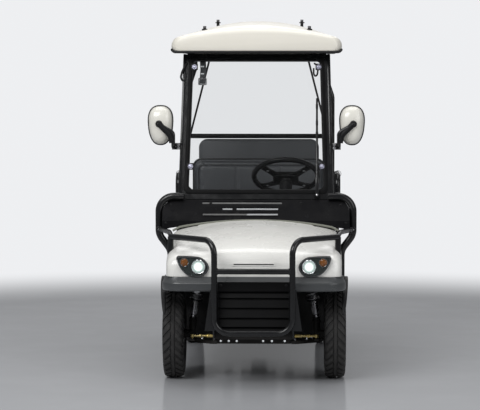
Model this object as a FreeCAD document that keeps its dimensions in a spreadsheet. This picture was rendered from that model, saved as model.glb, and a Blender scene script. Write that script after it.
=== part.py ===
import FreeCAD, Part
import math
import os
from types import SimpleNamespace

import Sketcher

# Compact golf cart: front bench, rear-facing bench, moulded roof on a tube frame.
# Millimetres and degrees. X is the cart's left side, -Y its front, Z up.
# The origin is on the floor below the middle of the cart.

VECTOR = FreeCAD.Vector

doc = FreeCAD.newDocument("golf_cart")
sheet = doc.addObject("Spreadsheet::Sheet", "Sizes")

# name, size, what it measures
SIZES = (
    ("wheelbase", 1520, "front axle to rear axle"),
    ("front_axle_y", -775, "front axle from the origin"),
    ("axle_height", 235, "wheel centres above the floor"),
    ("front_track", 870, "between the front tyres' middles"),
    ("rear_track", 797, "between the rear tyres' middles"),
    ("tyre_radius", 235, "tyre outside"),
    ("tyre_width", 115, "tyre section"),
    ("rim_radius", 120, "bead seat of the rim"),
    ("rim_width", 84, "between the rim's flanges"),
    ("rim_wall", 6, "steel of the rim"),
    ("window_count", 8, "round windows in the rim's disc"),
    ("window_radius", 11, "round windows in the rim's disc"),
    ("window_ring", 76, "windows' middles from the wheel's axis"),
    ("rim_dish", 12, "disc outboard of the wheel's middle"),
    ("rim_flange", 12, "rim flange above the bead seat"),
    ("crown_drop", 4, "tyre crown's fall to its shoulders"),
    ("hub_radius", 42, "wheel hub"),
    ("hub_depth", 54, "wheel hub along its axle"),
    ("spindle_radius", 12.5, "axle end inside the hub"),
    ("running_gap", 0.05, "play between a spindle and its bore"),
    ("seat_gap", 0.3, "play between pieces that only rest"),
    ("king_pin_x", 335, "steering axis from the middle"),
    ("steer_arm", 100, "steering arm ahead of the axle"),
    ("rail_spread", 185, "chassis rails' middles from the middle"),
    ("rail_width", 40, "chassis rail section across"),
    ("rail_height", 50, "chassis rail section upright"),
    ("rail_bottom", 246, "underside of the chassis rails"),
    ("rail_behind", 375, "rails behind the rear axle"),
    ("rise_ahead", 310, "rails start to rise ahead of the rear axle"),
    ("rise_long", 75, "slope in the rails"),
    ("panel_wall", 6, "moulded body panels"),
    ("floor_top", 345, "foot well floor"),
    ("floor_thick", 12, "foot well floor panel"),
    ("bearer_deep", 36, "cross members under the floor"),
    ("floor_half", 455, "half the foot well floor"),
    ("sill_height", 62, "side sill"),
    ("sill_width", 26, "side sill across"),
    ("nose_front_y", -1080, "front face of the nose"),
    ("nose_back_y", -470, "nose's back edge at the cowl"),
    ("nose_low", 545, "nose's lower front edge"),
    ("nose_brow", 655, "where the nose face turns into the hood"),
    ("nose_high", 828, "hood's back edge"),
    ("nose_half", 468, "half the nose"),
    ("nose_round", 62, "rounding along the hood's sides"),
    ("arch_radius", 300, "front wheel arch"),
    ("flare_half", 505, "half the cart over the arch lips"),
    ("flare_wall", 12, "arch lip inside the arch's edge"),
    ("flare_over", 14, "arch lip over the body's side"),
    ("bumper_half", 488, "half the front bumper"),
    ("bumper_round", 104, "bumper's corners seen from above"),
    ("bumper_end_y", -968, "bumper's ends beside the nose"),
    ("bumper_slope", 16, "bevel along the bumper's top edge"),
    ("bumper_low", 502, "bumper's lower edge"),
    ("bumper_high", 572, "bumper's upper edge"),
    ("bumper_front_y", -1118, "bumper's face"),
    ("grille_half", 190, "half the louvre panel"),
    ("grille_low", 285, "louvre panel's lower edge"),
    ("grille_high", 552, "louvre panel's upper edge"),
    ("grille_y", -1145, "louvre panel's face"),
    ("guard_tube", 16, "bull bar tube radius"),
    ("guard_y", -1195, "bull bar's upright plane"),
    ("guard_half", 205, "bull bar uprights from the middle"),
    ("guard_cross", 613, "bull bar's cross tube"),
    ("guard_low", 287, "bull bar's bottom tube"),
    ("guard_high", 775, "bull bar's arms"),
    ("guard_bend", 78, "bull bar's bends"),
    ("cowl_top", 940, "cowl's upper edge"),
    ("cowl_back_y", -398, "cowl's upper edge from the origin"),
    ("cowl_mid", 828, "cowl's lower edge in the middle"),
    ("cowl_end", 778, "cowl's lower edge at its ends"),
    ("slot_tall", 10, "slots in the cowl"),
    ("slot_reach", 1400, "length of the cuts for the slots"),
    ("hoop_tube", 20, "side hoop tube radius"),
    ("hoop_half", 541, "side hoops' middle from the middle"),
    ("hoop_bend", 84, "side hoops' bends"),
    ("screen_low", 940, "windscreen frame's foot"),
    ("screen_y", -382, "windscreen frame's foot from the origin"),
    ("screen_rake", 14.5, "windscreen frame from upright"),
    ("screen_long", 835, "windscreen frame along its slope"),
    ("screen_half_low", 417, "half the windscreen frame's foot"),
    ("screen_half_high", 398, "half the windscreen frame's top"),
    ("screen_bar", 38, "windscreen frame's bars"),
    ("screen_deep", 26, "windscreen frame front to back"),
    ("glass_thick", 5, "windscreen pane"),
    ("glass_lap", 17, "pane over the frame's bars"),
    ("roof_half", 481, "half the roof"),
    ("roof_over", 17.6, "roof's lower edge above the windscreen frame"),
    ("roof_end_high", 87, "fascia at the roof's corners"),
    ("roof_mid_high", 122, "fascia at the middle"),
    ("roof_front_y", -285, "roof's front"),
    ("roof_long", 1430, "roof front to back"),
    ("roof_rise", 64, "roof's crown above its fascia"),
    ("roof_skin", 24, "roof moulding"),
    ("roof_corner", 66, "roof's rounding along its sides"),
    ("roof_round", 55, "roof's corners seen from above"),
    ("rim_tall", 8, "black rim below the roof"),
    ("stud_radius", 9, "roof studs"),
    ("stud_front_half", 298, "front roof studs from the middle"),
    ("stud_back_half", 258, "back roof studs from the middle"),
    ("stud_front_y", -92, "front roof studs"),
    ("stud_back_y", 960, "back roof studs"),
    ("post_tube", 14, "rear post tube radius"),
    ("post_half", 440, "rear posts from the middle"),
    ("post_y", 575, "rear posts' plane"),
    ("rail_tube", 16, "roof rail tube radius"),
    ("rail_half", 382, "roof rails from the middle"),
    ("seat_front_y", 105, "front bench's front edge"),
    ("seat_half", 418, "half the front cushion"),
    ("seat_high", 752, "front cushion's top"),
    ("seat_round", 38, "cushion edges"),
    ("body_half", 470, "half the rear body"),
    ("body_top", 625, "rear body's top edge"),
    ("body_low", 322, "rear body's lower edge"),
    ("body_behind", 363, "rear body behind the rear axle"),
    ("rear_arch", 268, "rear wheel arch"),
    ("liner_wall", 6, "wheel arch liners"),
    ("liner_inner", 355, "front liners' inner edges from the middle"),
    ("rear_liner_wide", 164, "rear liners across"),
    ("back_half", 400, "half the front backrest"),
    ("back_low", 800, "front backrest's lower edge"),
    ("back_high", 1134, "front backrest's top"),
    ("back_thick", 80, "backrest padding"),
    ("rear_back_half", 364, "half the rear backrest"),
    ("rear_back_high", 1248, "rear backrest's top"),
    ("rear_back_low", 830, "rear backrest's lower edge"),
    ("rear_seat_long", 400, "rear cushion front to back"),
    ("wheel_ring", 184, "steering wheel ring's middle line"),
    ("wheel_grip", 14, "steering wheel ring's tube radius"),
    ("wheel_x", 165, "steering wheel from the middle"),
    ("wheel_y", 25, "steering wheel's centre from the origin"),
    ("wheel_z", 1050, "steering wheel's centre"),
    ("wheel_tilt", 34, "steering wheel from level"),
    ("column_long", 420, "steering column"),
    ("column_radius", 24, "steering column tube"),
    ("mirror_half", 535, "mirrors from the middle"),
    ("mirror_z", 1355, "mirrors' middle"),
    ("mirror_y", -345, "mirrors' middle from the origin"),
    ("mirror_wide", 148, "mirror housing across"),
    ("mirror_tall", 214, "mirror housing upright"),
    ("mirror_deep", 62, "mirror housing front to back"),
    ("lamp_x", 323, "lamp housing's middle"),
    ("lamp_z", 628, "lamp housing's middle"),
    ("lamp_deep", 60, "lamp housing front to back"),
    ("wiper_x", 340, "wiper spindle from the middle"),
    ("wiper_long", 560, "wiper from spindle to tip"),
    ("battery_long", 270, "battery block front to back"),
    ("battery_wide", 290, "battery block across"),
    ("battery_high", 280, "battery block upright"),
    ("motor_radius", 85, "drive motor"),
    ("motor_long", 210, "drive motor"),
    ("axle_tube", 32, "rear axle tube radius"),
    ("step_behind", 466, "foot rest behind the rear axle"),
    ("step_half", 400, "half the foot rest"),
    ("hitch_bore", 8, "drawbar pin hole radius"),
    ("rail_raised", 345, "underside of the rails over the rear axle"),
    ("tower_top", 622, "strut towers"),
    ("cradle_half", 200, "half the front cradle"),
    ("cradle_low", 190, "front cradle's underside"),
    ("rack_case", 20, "steering rack's housing radius"),
    ("rack_case_long", 300, "steering rack's housing"),
    ("rack_radius", 10, "steering rack bar radius"),
    ("rack_long", 500, "steering rack bar"),
    ("rack_z", 235, "steering rack above the floor"),
    ("tie_radius", 7, "tie rod radius"),
    ("arm_low", 190, "lower arms' underside"),
    ("arm_thick", 18, "lower arms"),
    ("upright_top", 325, "top of the uprights"),
    ("upright_radius", 20, "uprights round the steering axis"),
    ("strut_long", 280, "strut along its axis"),
    ("strut_radius", 18, "damper radius"),
    ("strut_spring", 30, "spring radius"),
    ("strut_lean", 10, "struts from upright"),
    ("strut_clear", 9, "struts above the uprights that turn"),
    ("motor_ahead", 150, "motor ahead of the rear axle"),
    ("spring_low", 277, "leaf pack's underside at the axle"),
    ("spring_half", 200, "leaf pack from axle to eye"),
    ("spring_eye", 12, "spring eye radius"),
    ("leaf_thick", 11, "one leaf"),
    ("leaf_wide", 44, "leaf pack across"),
    ("nose_crown", 48, "hood's rise from its sides to its middle"),
    ("slot_half", 106, "half the nose slot"),
    ("slot_z", 639, "nose slot"),
    ("lip_low", 370, "arch lips' lower ends"),
    ("grille_deep", 20, "louvre panel front to back"),
    ("grille_head", 54, "plain band above the louvres"),
    ("louvre_back", 3, "plate behind the louvres"),
    ("guard_end_x", 448, "bull bar arms' ends from the middle"),
    ("guard_end_y", -925, "bull bar arms' ends from the origin"),
    ("gusset_high", 20, "gussets outside the tube at their tops"),
    ("gusset_low", 51, "gussets outside the tube at their feet"),
    ("guard_foot_top", 517, "bull bar foot plates' top"),
    ("cowl_wall", 5, "cowl panel"),
    ("hoop_low_x", 475, "side hoops' lower leg from the middle"),
    ("wiper_up", 18, "wiper spindle above the frame's foot"),
    ("dash_half", 440, "half the dashboard"),
    ("dash_low", 640, "dashboard's lower edge"),
    ("tray_low", 800, "dashboard tray's floor"),
    ("tray_high", 893, "dashboard tray's ceiling"),
    ("tray_deep", 120, "dashboard tray front to back"),
    ("dash_back_y", -228, "dashboard's face towards the bench"),
    ("hub_drop", 38, "steering wheel boss below its ring"),
    ("lamp_proud", 8, "lamp housing ahead of the nose"),
    ("beam_x", 297, "head lamp lens from the middle"),
    ("beam_z", 629, "head lamp lens"),
    ("beam_radius", 30, "head lamp lens"),
    ("turn_x", 367, "turn lamp lens from the middle"),
    ("turn_z", 651, "turn lamp lens"),
    ("turn_radius", 20, "turn lamp lens"),
    ("mirror_arm", 11, "mirror arm tube radius"),
    ("mirror_round", 62, "mirror housing's corners"),
    ("mirror_edge", 30, "rounding round the mirror housing's face"),
    ("mirror_foot_z", 1235, "mirror bracket"),
    ("body_tail_low", 402, "rear body's lower edge behind the wheels"),
    ("hatch_long", 356, "battery hatch front to back"),
    ("hatch_half", 385, "half the battery hatch"),
    ("seat_long", 372, "front cushion front to back"),
    ("post_bend_z", 1500, "where the rear posts lean in"),
    ("cross_bar_z", 1263, "bar above the rear backrest"),
    ("arm_tube", 11, "arm rest tube radius"),
    ("arm_grip", 18, "arm rest padding radius"),
    ("arm_back", 135, "arm rest from the bench's front"),
    ("arm_top", 1042, "arm rest tube's top run"),
    ("grip_long", 230, "arm rest's padding along its top"),
    ("grip_down", 150, "arm rest's padding down its front"),
    ("stud_front_foot", 125, "front studs' feet above the roof's lower edge"),
    ("stud_front_top", 145, "front studs' tops above the roof's lower edge"),
    ("stud_back_foot", 153, "back studs' feet above the roof's lower edge"),
    ("stud_back_top", 200, "back studs' tops above the roof's lower edge"),
    ("stud_foot", 6, "studs' feet wider than the studs"),
    ("stay_tube", 6, "roof stay radius"),
    ("stay_top_x", 290, "roof stays' tops from the middle"),
    ("stay_low", 1158, "roof stays' lower ends"),
    ("tail_lamp_x", 400, "tail lamps from the middle"),
    ("tail_lamp_z", 520, "tail lamps"),
)


class Size:
    """A sheet formula together with its number."""

    def __init__(self, text, number):
        self.text = text
        self.number = float(number)

    def join(self, sign, other, number, flip=False):
        first, second = (text_of(other), self.text) if flip else (self.text, text_of(other))
        return Size("(%s %s %s)" % (first, sign, second), number)

    def __add__(self, other):
        return self.join("+", other, self.number + number_of(other))

    def __radd__(self, other):
        return self.join("+", other, number_of(other) + self.number, True)

    def __sub__(self, other):
        return self.join("-", other, self.number - number_of(other))

    def __rsub__(self, other):
        return self.join("-", other, number_of(other) - self.number, True)

    def __mul__(self, other):
        return self.join("*", other, self.number * number_of(other))

    def __rmul__(self, other):
        return self.join("*", other, number_of(other) * self.number, True)

    def __truediv__(self, other):
        return self.join("/", other, self.number / number_of(other))

    def __neg__(self):
        return Size("(0 - %s)" % self.text, -self.number)


def number_of(size):
    return size.number if isinstance(size, Size) else float(size)


def text_of(size):
    return size.text if isinstance(size, Size) else "%.6f" % size


def sine(angle):
    return Size("sin(%s)" % text_of(angle), math.sin(math.radians(number_of(angle))))


def cosine(angle):
    return Size("cos(%s)" % text_of(angle), math.cos(math.radians(number_of(angle))))


def fill_sheet():
    """Write the table into the sheet and return the sizes by name."""
    found = {}
    for row, (name, amount, meaning) in enumerate(SIZES, 1):
        sheet.set("A%d" % row, name)
        sheet.set("B%d" % row, str(amount))
        sheet.setAlias("B%d" % row, name)
        sheet.set("C%d" % row, meaning)
    doc.recompute()
    for name, amount, meaning in SIZES:
        found[name] = Size("Sizes." + name, sheet.get(name))
    return SimpleNamespace(**found)


def derive():
    """Places that follow from other sizes, so that pieces meet."""
    gap = s.seat_gap
    s.rear_axle_y = s.front_axle_y + s.wheelbase
    s.rail_back_y = s.rear_axle_y + s.rail_behind
    s.body_back_y = s.rear_axle_y + s.body_behind
    s.step_back_y = s.rear_axle_y + s.step_behind
    s.roof_low = s.screen_low + s.screen_long * cosine(s.screen_rake) + s.roof_over
    s.rear_liner_inner = s.body_half - s.rear_liner_wide - s.panel_wall
    s.rail_front_y = s.grille_y + s.grille_deep + s.louvre_back + gap
    s.floor_front_y = s.nose_back_y + s.cowl_wall + gap
    s.toe_top = s.dash_low - gap
    s.roof_rail_z = s.roof_low - s.rim_tall - 2 * gap - s.rail_tube
    s.cowl_half = s.hoop_half - s.hoop_tube - gap
    s.hoop_top = s.cowl_top + s.hoop_tube + gap
    slope = sine(s.screen_rake) / cosine(s.screen_rake)
    before = (s.screen_deep / 2 + s.hoop_tube + 2 * gap) / cosine(s.screen_rake)
    s.hoop_y = s.screen_y + (s.hoop_top - s.screen_low) * slope - before
    up = (s.mirror_foot_z - s.screen_low) / cosine(s.screen_rake)
    narrow = (s.screen_half_low - s.screen_half_high) * up / s.screen_long
    s.mirror_foot_x = s.screen_half_low - narrow + 3 * gap
    s.mirror_foot_y = s.screen_y + up * sine(s.screen_rake)
    s.stay_y = s.post_y - s.post_tube - s.stay_tube - gap


s = fill_sheet()
derive()
NODES = {}


def node(name, item):
    """Give a finished piece its label and keep it for the output."""
    item.Label = name
    NODES[name] = item
    return item


def bind(item, **sizes):
    for name, size in sizes.items():
        item.setExpression(name, text_of(size))


def place(item, x, y, z, turn=None):
    """Place an item at bound coordinates, with an optional rotation (axis, degrees)."""
    rotation = FreeCAD.Rotation(VECTOR(*turn[0]), turn[1]) if turn else FreeCAD.Rotation()
    item.Placement = FreeCAD.Placement(VECTOR(number_of(x), number_of(y), number_of(z)), rotation)
    item.setExpression("Placement.Base.x", text_of(x))
    item.setExpression("Placement.Base.y", text_of(y))
    item.setExpression("Placement.Base.z", text_of(z))
    return item


def block(name, xs, ys, zs):
    """Box between bound limits, each a pair (low, high)."""
    item = doc.addObject("Part::Box", name)
    bind(item, Length=xs[1] - xs[0], Width=ys[1] - ys[0], Height=zs[1] - zs[0])
    return place(item, xs[0], ys[0], zs[0])


AXIS_TURNS = {"x": ((0, 1, 0), 90), "y": ((1, 0, 0), -90), "z": None}


def rod(name, radius, length, start, axis="z"):
    """Cylinder along +X, +Y or +Z from a bound start point."""
    item = doc.addObject("Part::Cylinder", name)
    bind(item, Radius=radius, Height=length)
    return place(item, start[0], start[1], start[2], AXIS_TURNS[axis])


def fuse(name, items):
    item = doc.addObject("Part::MultiFuse", name)
    item.Shapes = items
    return item


def cut(name, base, tool):
    item = doc.addObject("Part::Cut", name)
    item.Base = base
    item.Tool = tool
    return item


def group(name, items):
    """Solids that share a node without touching."""
    item = doc.addObject("Part::Compound", name)
    item.Links = items
    return item


def mirror(item, name=None):
    """The same piece on the other side of the cart."""
    other = doc.addObject("Part::Mirroring", name or item.Name + "_twin")
    other.Source = item
    other.Normal = VECTOR(1, 0, 0)
    return other


def pair(name, item):
    """Left and right pieces in one node."""
    return node(name, group(name, [item, mirror(item)]))


def shape(name, solid):
    """Piece whose form comes from a calculated solid."""
    item = doc.addObject("Part::Feature", name)
    item.Shape = solid
    return item


def new_body(name):
    return doc.addObject("PartDesign::Body", name)


def origin_part(owner, role):
    """One of a body's own planes or axes."""
    return [one for one in owner.Origin.OriginFeatures if one.Role == role][0]


def sketch(owner, plane, rows, name="outline"):
    """Closed outline on an origin plane of its body.

    Each row is (first coordinate, second coordinate, radius), the radius that of the arc to
    the next point, which bulges to the right of the way there, or 0 for a straight line.
    """
    item = owner.newObject("Sketcher::SketchObject", owner.Name + "_" + name)
    item.AttachmentSupport = [(origin_part(owner, plane), "")]
    item.MapMode = "FlatFace"
    count = len(rows)
    spots = [VECTOR(number_of(row[0]), number_of(row[1]), 0) for row in rows]
    ends = []
    for index, row in enumerate(rows):
        start, end = spots[index], spots[(index + 1) % count]
        radius = number_of(row[2]) if len(row) > 2 else 0
        if radius:
            item.addGeometry(arc_between(start, end, radius))
        else:
            item.addGeometry(Part.LineSegment(start, end))
        # a sketch's arcs run anticlockwise, so one that bulges to the left starts at its far end
        ends.append((2, 1) if radius < 0 else (1, 2))
    for index in range(count):
        after = (index + 1) % count
        item.addConstraint(Sketcher.Constraint("Coincident", index, ends[index][1], after, ends[after][0]))
    for index, row in enumerate(rows):
        first = ends[index][0]
        limit(item, Sketcher.Constraint("DistanceX", -1, 1, index, first, number_of(row[0])), row[0])
        limit(item, Sketcher.Constraint("DistanceY", -1, 1, index, first, number_of(row[1])), row[1])
        if len(row) > 2 and number_of(row[2]):
            size = row[2] if number_of(row[2]) > 0 else -row[2]
            limit(item, Sketcher.Constraint("Radius", index, number_of(size)), size)
    return item


def limit(item, constraint, size):
    """Add a measured constraint and bind it to the sheet."""
    index = item.addConstraint(constraint)
    if isinstance(size, Size):
        item.setExpression("Constraints[%d]" % index, size.text)


def arc_between(start, end, radius):
    """Arc that bulges to the right of the way from start to end, or left if radius < 0."""
    middle = (start + end) * 0.5
    along = (end - start).normalize()
    left = VECTOR(-along.y, along.x, 0)
    half = (end - start).Length / 2
    rise = abs(radius) - math.sqrt(max(radius * radius - half * half, 0))
    top = middle - left * (math.copysign(rise, radius))
    return Part.Arc(start, top, end)


def pad(owner, outline, length, side="Symmetric", back=False):
    item = owner.newObject("PartDesign::Pad", owner.Name + "_pad")
    item.Profile = outline
    item.SideType = side
    item.Reversed = back
    bind(item, Length=length)
    return item


def pocket(owner, outline, length, side="Symmetric", back=False):
    """Cut the outline's prism out of the body, and make sure that it cuts."""
    doc.recompute()
    before = owner.Shape.Volume
    item = owner.newObject("PartDesign::Pocket", owner.Name + "_pocket")
    item.Profile = outline
    item.SideType = side
    item.Reversed = back
    bind(item, Length=length)
    doc.recompute()
    if owner.Shape.Volume > before - 1:
        raise ValueError("a pocket of %s cuts nothing" % owner.Name)
    return item


def revolve(owner, outline, axis="H_Axis"):
    item = owner.newObject("PartDesign::Revolution", owner.Name + "_turned")
    item.Profile = outline
    item.ReferenceAxis = (outline, [axis])
    item.Angle = 360
    return item


def round_edges(owner, radius, wanted):
    """Fillet the edges of the body's last feature that a test picks."""
    doc.recompute()
    last = owner.Tip
    names = ["Edge%d" % (index + 1) for index, edge in enumerate(last.Shape.Edges) if wanted(edge)]
    item = owner.newObject("PartDesign::Fillet", owner.Name + "_round")
    item.Base = (last, names)
    bind(item, Radius=radius)
    return item


def runs_along(edge, axis):
    """Whether an edge is straight and lies along an axis."""
    ends = edge.Vertexes
    if len(ends) < 2 or edge.Curve.TypeId != "Part::GeomLine":
        return False
    way = (ends[1].Point - ends[0].Point).normalize()
    return abs(abs(way.dot(VECTOR(*axis))) - 1) < 1e-6


def points_of(rows):
    return [VECTOR(*[number_of(part) for part in row]) for row in rows]


def bent_path(points, bend):
    """Straight runs joined by tangent arcs of one radius."""
    edges = []
    start = points[0]
    for before, corner, after in zip(points, points[1:], points[2:]):
        back = (before - corner).normalize()
        ahead = (after - corner).normalize()
        turn = math.pi - back.getAngle(ahead)
        reach = bend * math.tan(turn / 2)
        first = corner + back * reach
        last = corner + ahead * reach
        inward = (back + ahead).normalize()
        middle = corner + inward * (bend / math.cos(turn / 2) - bend)
        edges.append(Part.LineSegment(start, first).toShape())
        edges.append(Part.Arc(first, middle, last).toShape())
        start = last
    edges.append(Part.LineSegment(start, points[-1]).toShape())
    return Part.Wire(edges)


def bent_tube(rows, radius, bend):
    """Round bar bent along points, its arcs as large as the bend."""
    points = points_of(rows)
    path = bent_path(points, number_of(bend))
    section = Part.Wire([Part.Circle(points[0], points[1] - points[0], number_of(radius)).toShape()])
    return path.makePipeShell([section], True, False)


def straight_bar(first, last, radius):
    start, end = points_of([first, last])
    return Part.makeCylinder(number_of(radius), (end - start).Length, start, end - start)


# Wheels


def make_wheels():
    """Tyre and pressed rim at each corner, the dish of the rim outboard."""
    rear_axle = s.rear_axle_y
    corners = (
        # name, x, y, turn so that the rim's disc faces outward
        ("fl", s.front_track / 2, s.front_axle_y, 0),
        ("fr", -s.front_track / 2, s.front_axle_y, 180),
        ("rl", s.rear_track / 2, rear_axle, 0),
        ("rr", -s.rear_track / 2, rear_axle, 180),
    )
    for name, x, y, turn in corners:
        spin = ((0, 0, 1), turn)
        node("tyre_" + name, place(tyre("tyre_" + name), x, y, s.axle_height, spin))
        node("rim_" + name, place(rim("rim_" + name), x, y, s.axle_height, spin))


def tyre(name):
    """Bead, bulging side, shoulder and crown, the crown's top at the tyre radius."""
    item = new_body(name)
    half = s.tyre_width / 2
    bead = s.rim_width / 2
    flange = s.rim_radius + s.rim_flange + 2
    crown = half - 24
    waist = s.rim_radius + 58
    side = (
        (bead, s.rim_radius),
        (bead, flange),
        (half - 4, flange + 18),
        (half, waist),
        (half - 4, s.tyre_radius - 24),
        (half - 12, s.tyre_radius - s.crown_drop - 5),
        (crown, s.tyre_radius - s.crown_drop / 2),
    )
    middle = ((crown / 2, s.tyre_radius), (-crown / 2, s.tyre_radius))
    outline = sketch(item, "XZ_Plane", side + middle + tuple((-x, z) for x, z in reversed(side)))
    revolve(item, outline)
    return item


def rim(name):
    """Barrel with a flange either side of the tyre, disc, hub bored for the spindle."""
    item = new_body(name)
    lip = s.rim_width / 2 + s.seat_gap
    seat = s.rim_radius - s.seat_gap
    inner = seat - s.rim_wall
    out = lip + s.rim_wall / 2
    top = s.rim_radius + s.rim_flange
    bore = s.spindle_radius + s.running_gap
    hub = s.hub_depth / 2
    disc = s.rim_dish
    outline = sketch(item, "XZ_Plane", (
        (-hub, bore),
        (hub, bore),
        (hub, s.hub_radius - 8),
        (hub - 8, s.hub_radius),
        (disc + s.rim_wall, s.hub_radius),
        (disc + 2, inner - 22),
        (disc + s.rim_wall, inner),
        (out, inner),
        (out, top),
        (lip, top),
        (lip, seat),
        (-lip, seat),
        (-lip, top),
        (-out, top),
        (-out, inner),
        (disc, inner),
        (disc - 4, inner - 22),
        (disc, s.hub_radius),
        (-hub, s.hub_radius),
    ))
    revolve(item, outline)
    windows(item, s.window_ring, s.window_radius, s.window_count)
    return item


def windows(owner, ring, radius, count):
    """Round holes through a disc, spaced evenly about the X axis."""
    outline = owner.newObject("Sketcher::SketchObject", owner.Name + "_window")
    outline.AttachmentSupport = [(origin_part(owner, "YZ_Plane"), "")]
    outline.MapMode = "FlatFace"
    outline.addGeometry(Part.Circle(VECTOR(number_of(ring), 0, 0), VECTOR(0, 0, 1), number_of(radius)))
    outline.addConstraint(Sketcher.Constraint("Radius", 0, number_of(radius)))
    outline.addConstraint(Sketcher.Constraint("DistanceX", -1, 1, 0, 3, number_of(ring)))
    outline.addConstraint(Sketcher.Constraint("PointOnObject", 0, 3, -1))
    outline.setExpression("Constraints[0]", text_of(radius))
    outline.setExpression("Constraints[1]", text_of(ring))
    hole = pocket(owner, outline, 60)
    pattern = owner.newObject("PartDesign::PolarPattern", owner.Name + "_pattern")
    pattern.Originals = [hole]
    pattern.Axis = (origin_part(owner, "X_Axis"), [""])
    pattern.Angle = 360
    pattern.Occurrences = int(number_of(count))
    pattern.setExpression("Occurrences", text_of(count))
    owner.Tip = pattern


def round_rect(half_low, half_high, low, high, radius):
    """Rows of an upright outline about the middle, its corners rounded."""
    return (
        (radius - half_low, low),
        (half_low - radius, low, radius),
        (half_low, low + radius),
        (half_high, high - radius, radius),
        (half_high - radius, high),
        (radius - half_high, high, radius),
        (-half_high, high - radius),
        (-half_low, low + radius, radius),
    )


def crowned_section(owner, y, half, low, edge, middle, corner, name):
    """Upright section at a station along the cart: flat foot, straight sides, arched top."""
    flat = half - corner
    sag = middle - edge
    bow = (flat * flat + sag * sag) / (2 * sag)
    item = sketch(owner, "XZ_Plane", (
        (-half, low),
        (half, low),
        (half, edge - corner, corner * 1.02),
        (flat, edge, bow),
        (-flat, edge, corner * 1.02),
        (-half, edge - corner),
    ), name)
    item.setExpression("AttachmentOffset.Base.z", text_of(-y))
    return item


def loft(owner, sections):
    item = owner.newObject("PartDesign::AdditiveLoft", owner.Name + "_loft")
    item.Profile = sections[0]
    item.Sections = sections[1:]
    item.Ruled = True
    return item


def cushion(name, xs, ys, zs, radius):
    """Upholstered block with rounded edges."""
    item = new_body(name)
    rows = ((xs[0], ys[0]), (xs[1], ys[0]), (xs[1], ys[1]), (xs[0], ys[1]))
    pad(item, sketch(item, "XY_Plane", rows), zs[1] - zs[0], "One side")
    round_edges(item, radius, lambda edge: True)
    return node(name, place(item, 0, 0, zs[0]))


# Chassis


def make_chassis():
    """Two rails that rise over the rear axle, cross members, strut towers, all welded."""
    rear_axle = s.rear_axle_y
    top = s.rail_bottom + s.rail_height
    raised = s.rail_raised
    rise_start = rear_axle - s.rise_ahead
    rise_end = rise_start + s.rise_long
    rail = new_body("rail_form")
    pad(rail, sketch(rail, "YZ_Plane", (
        (s.rail_front_y, s.rail_bottom),
        (rise_start, s.rail_bottom),
        (rise_end, raised),
        (s.rail_back_y, raised),
        (s.rail_back_y, raised + s.rail_height),
        (rise_end - 14, raised + s.rail_height),
        (rise_start - 14, top),
        (s.rail_front_y, top),
    )), s.rail_width)
    place(rail, s.rail_spread, 0, 0)
    outer = s.rail_spread + s.rail_width / 2
    axle = s.front_axle_y
    tower = block("tower_plate", (outer - 4, outer + 6), (axle - 42, axle + 42), (top - 30, s.tower_top))
    shelf = block("tower_shelf", (outer - 4, outer + 112), (axle - 42, axle + 42),
                  (s.tower_top - 8, s.tower_top))
    side = [rail, tower, shelf]
    pieces = side + [mirror(item) for item in side]
    low = (top - 2, s.floor_top - s.floor_thick - s.seat_gap)
    reach = s.floor_half - 15
    for index, station in enumerate((s.floor_front_y + 20, s.floor_front_y / 2, s.seat_front_y - 45)):
        pieces.append(block("floor_bearer_%d" % index, (-reach, reach), (station, station + s.bearer_deep), low))
    wide = s.body_half - s.panel_wall - s.seat_gap
    pieces.append(block("rear_bearer", (-wide, wide), (s.rail_back_y - 120, s.rail_back_y - 80),
                        (raised + s.rail_height - 2, raised + s.rail_height + 30)))
    pieces.append(block("front_tie", (-outer, outer), (s.rail_front_y, s.rail_front_y + 36),
                        (s.rail_bottom, top)))
    node("chassis_frame", fuse("chassis_frame", pieces))


def make_front_cradle():
    """Box under the rails that carries the lower arms and the rack's bored housing."""
    axle = s.front_axle_y
    back = axle - s.steer_arm + s.rack_case
    box = block("cradle_box", (-s.cradle_half, s.cradle_half), (back - 2, axle + 92),
                (s.cradle_low, s.rail_bottom - s.seat_gap))
    case = rod("rack_case", s.rack_case, s.rack_case_long,
               (-s.rack_case_long / 2, axle - s.steer_arm, s.rack_z), "x")
    bore = rod("rack_bore", s.rack_radius + s.running_gap, s.rack_case_long + 4,
               (-s.rack_case_long / 2 - 2, axle - s.steer_arm, s.rack_z), "x")
    node("front_cradle", cut("front_cradle", fuse("cradle_with_case", [box, case]), bore))


def make_rack():
    """Sliding rack with a tie rod at each end."""
    y = s.front_axle_y - s.steer_arm
    inner = s.rack_long / 2
    bar = rod("rack_bar", s.rack_radius, s.rack_long, (-inner, y, s.rack_z), "x")
    tie = rod("tie_rod", s.tie_radius, s.king_pin_x - inner + 2, (inner - 2, y, s.rack_z), "x")
    eye = rod("tie_eye", s.tie_radius + 5, 2 * s.tie_radius + 2,
              (s.king_pin_x, y, s.rack_z - s.tie_radius - 1))
    node("steering_rack", fuse("steering_rack", [bar, tie, eye, mirror(tie), mirror(eye)]))


def make_front_arms():
    """Lower arms: a triangle from two pivots on the cradle to the ball joint."""
    item = new_body("front_arm")
    inner = s.cradle_half + s.seat_gap
    tip = s.king_pin_x
    pad(item, sketch(item, "XY_Plane", (
        (inner, -96),
        (inner + 26, -96),
        (tip + 18, -14),
        (tip + 18, 14, 0),
        (inner + 26, 96),
        (inner, 96),
    )), s.arm_thick, "One side")
    pocket(item, sketch(item, "XY_Plane", (
        (inner + 24, -60),
        (tip - 38, 0),
        (inner + 24, 60),
    ), "window"), s.arm_thick * 3)
    place(item, 0, s.front_axle_y, s.arm_low)
    pair("front_arms", item)


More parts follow.
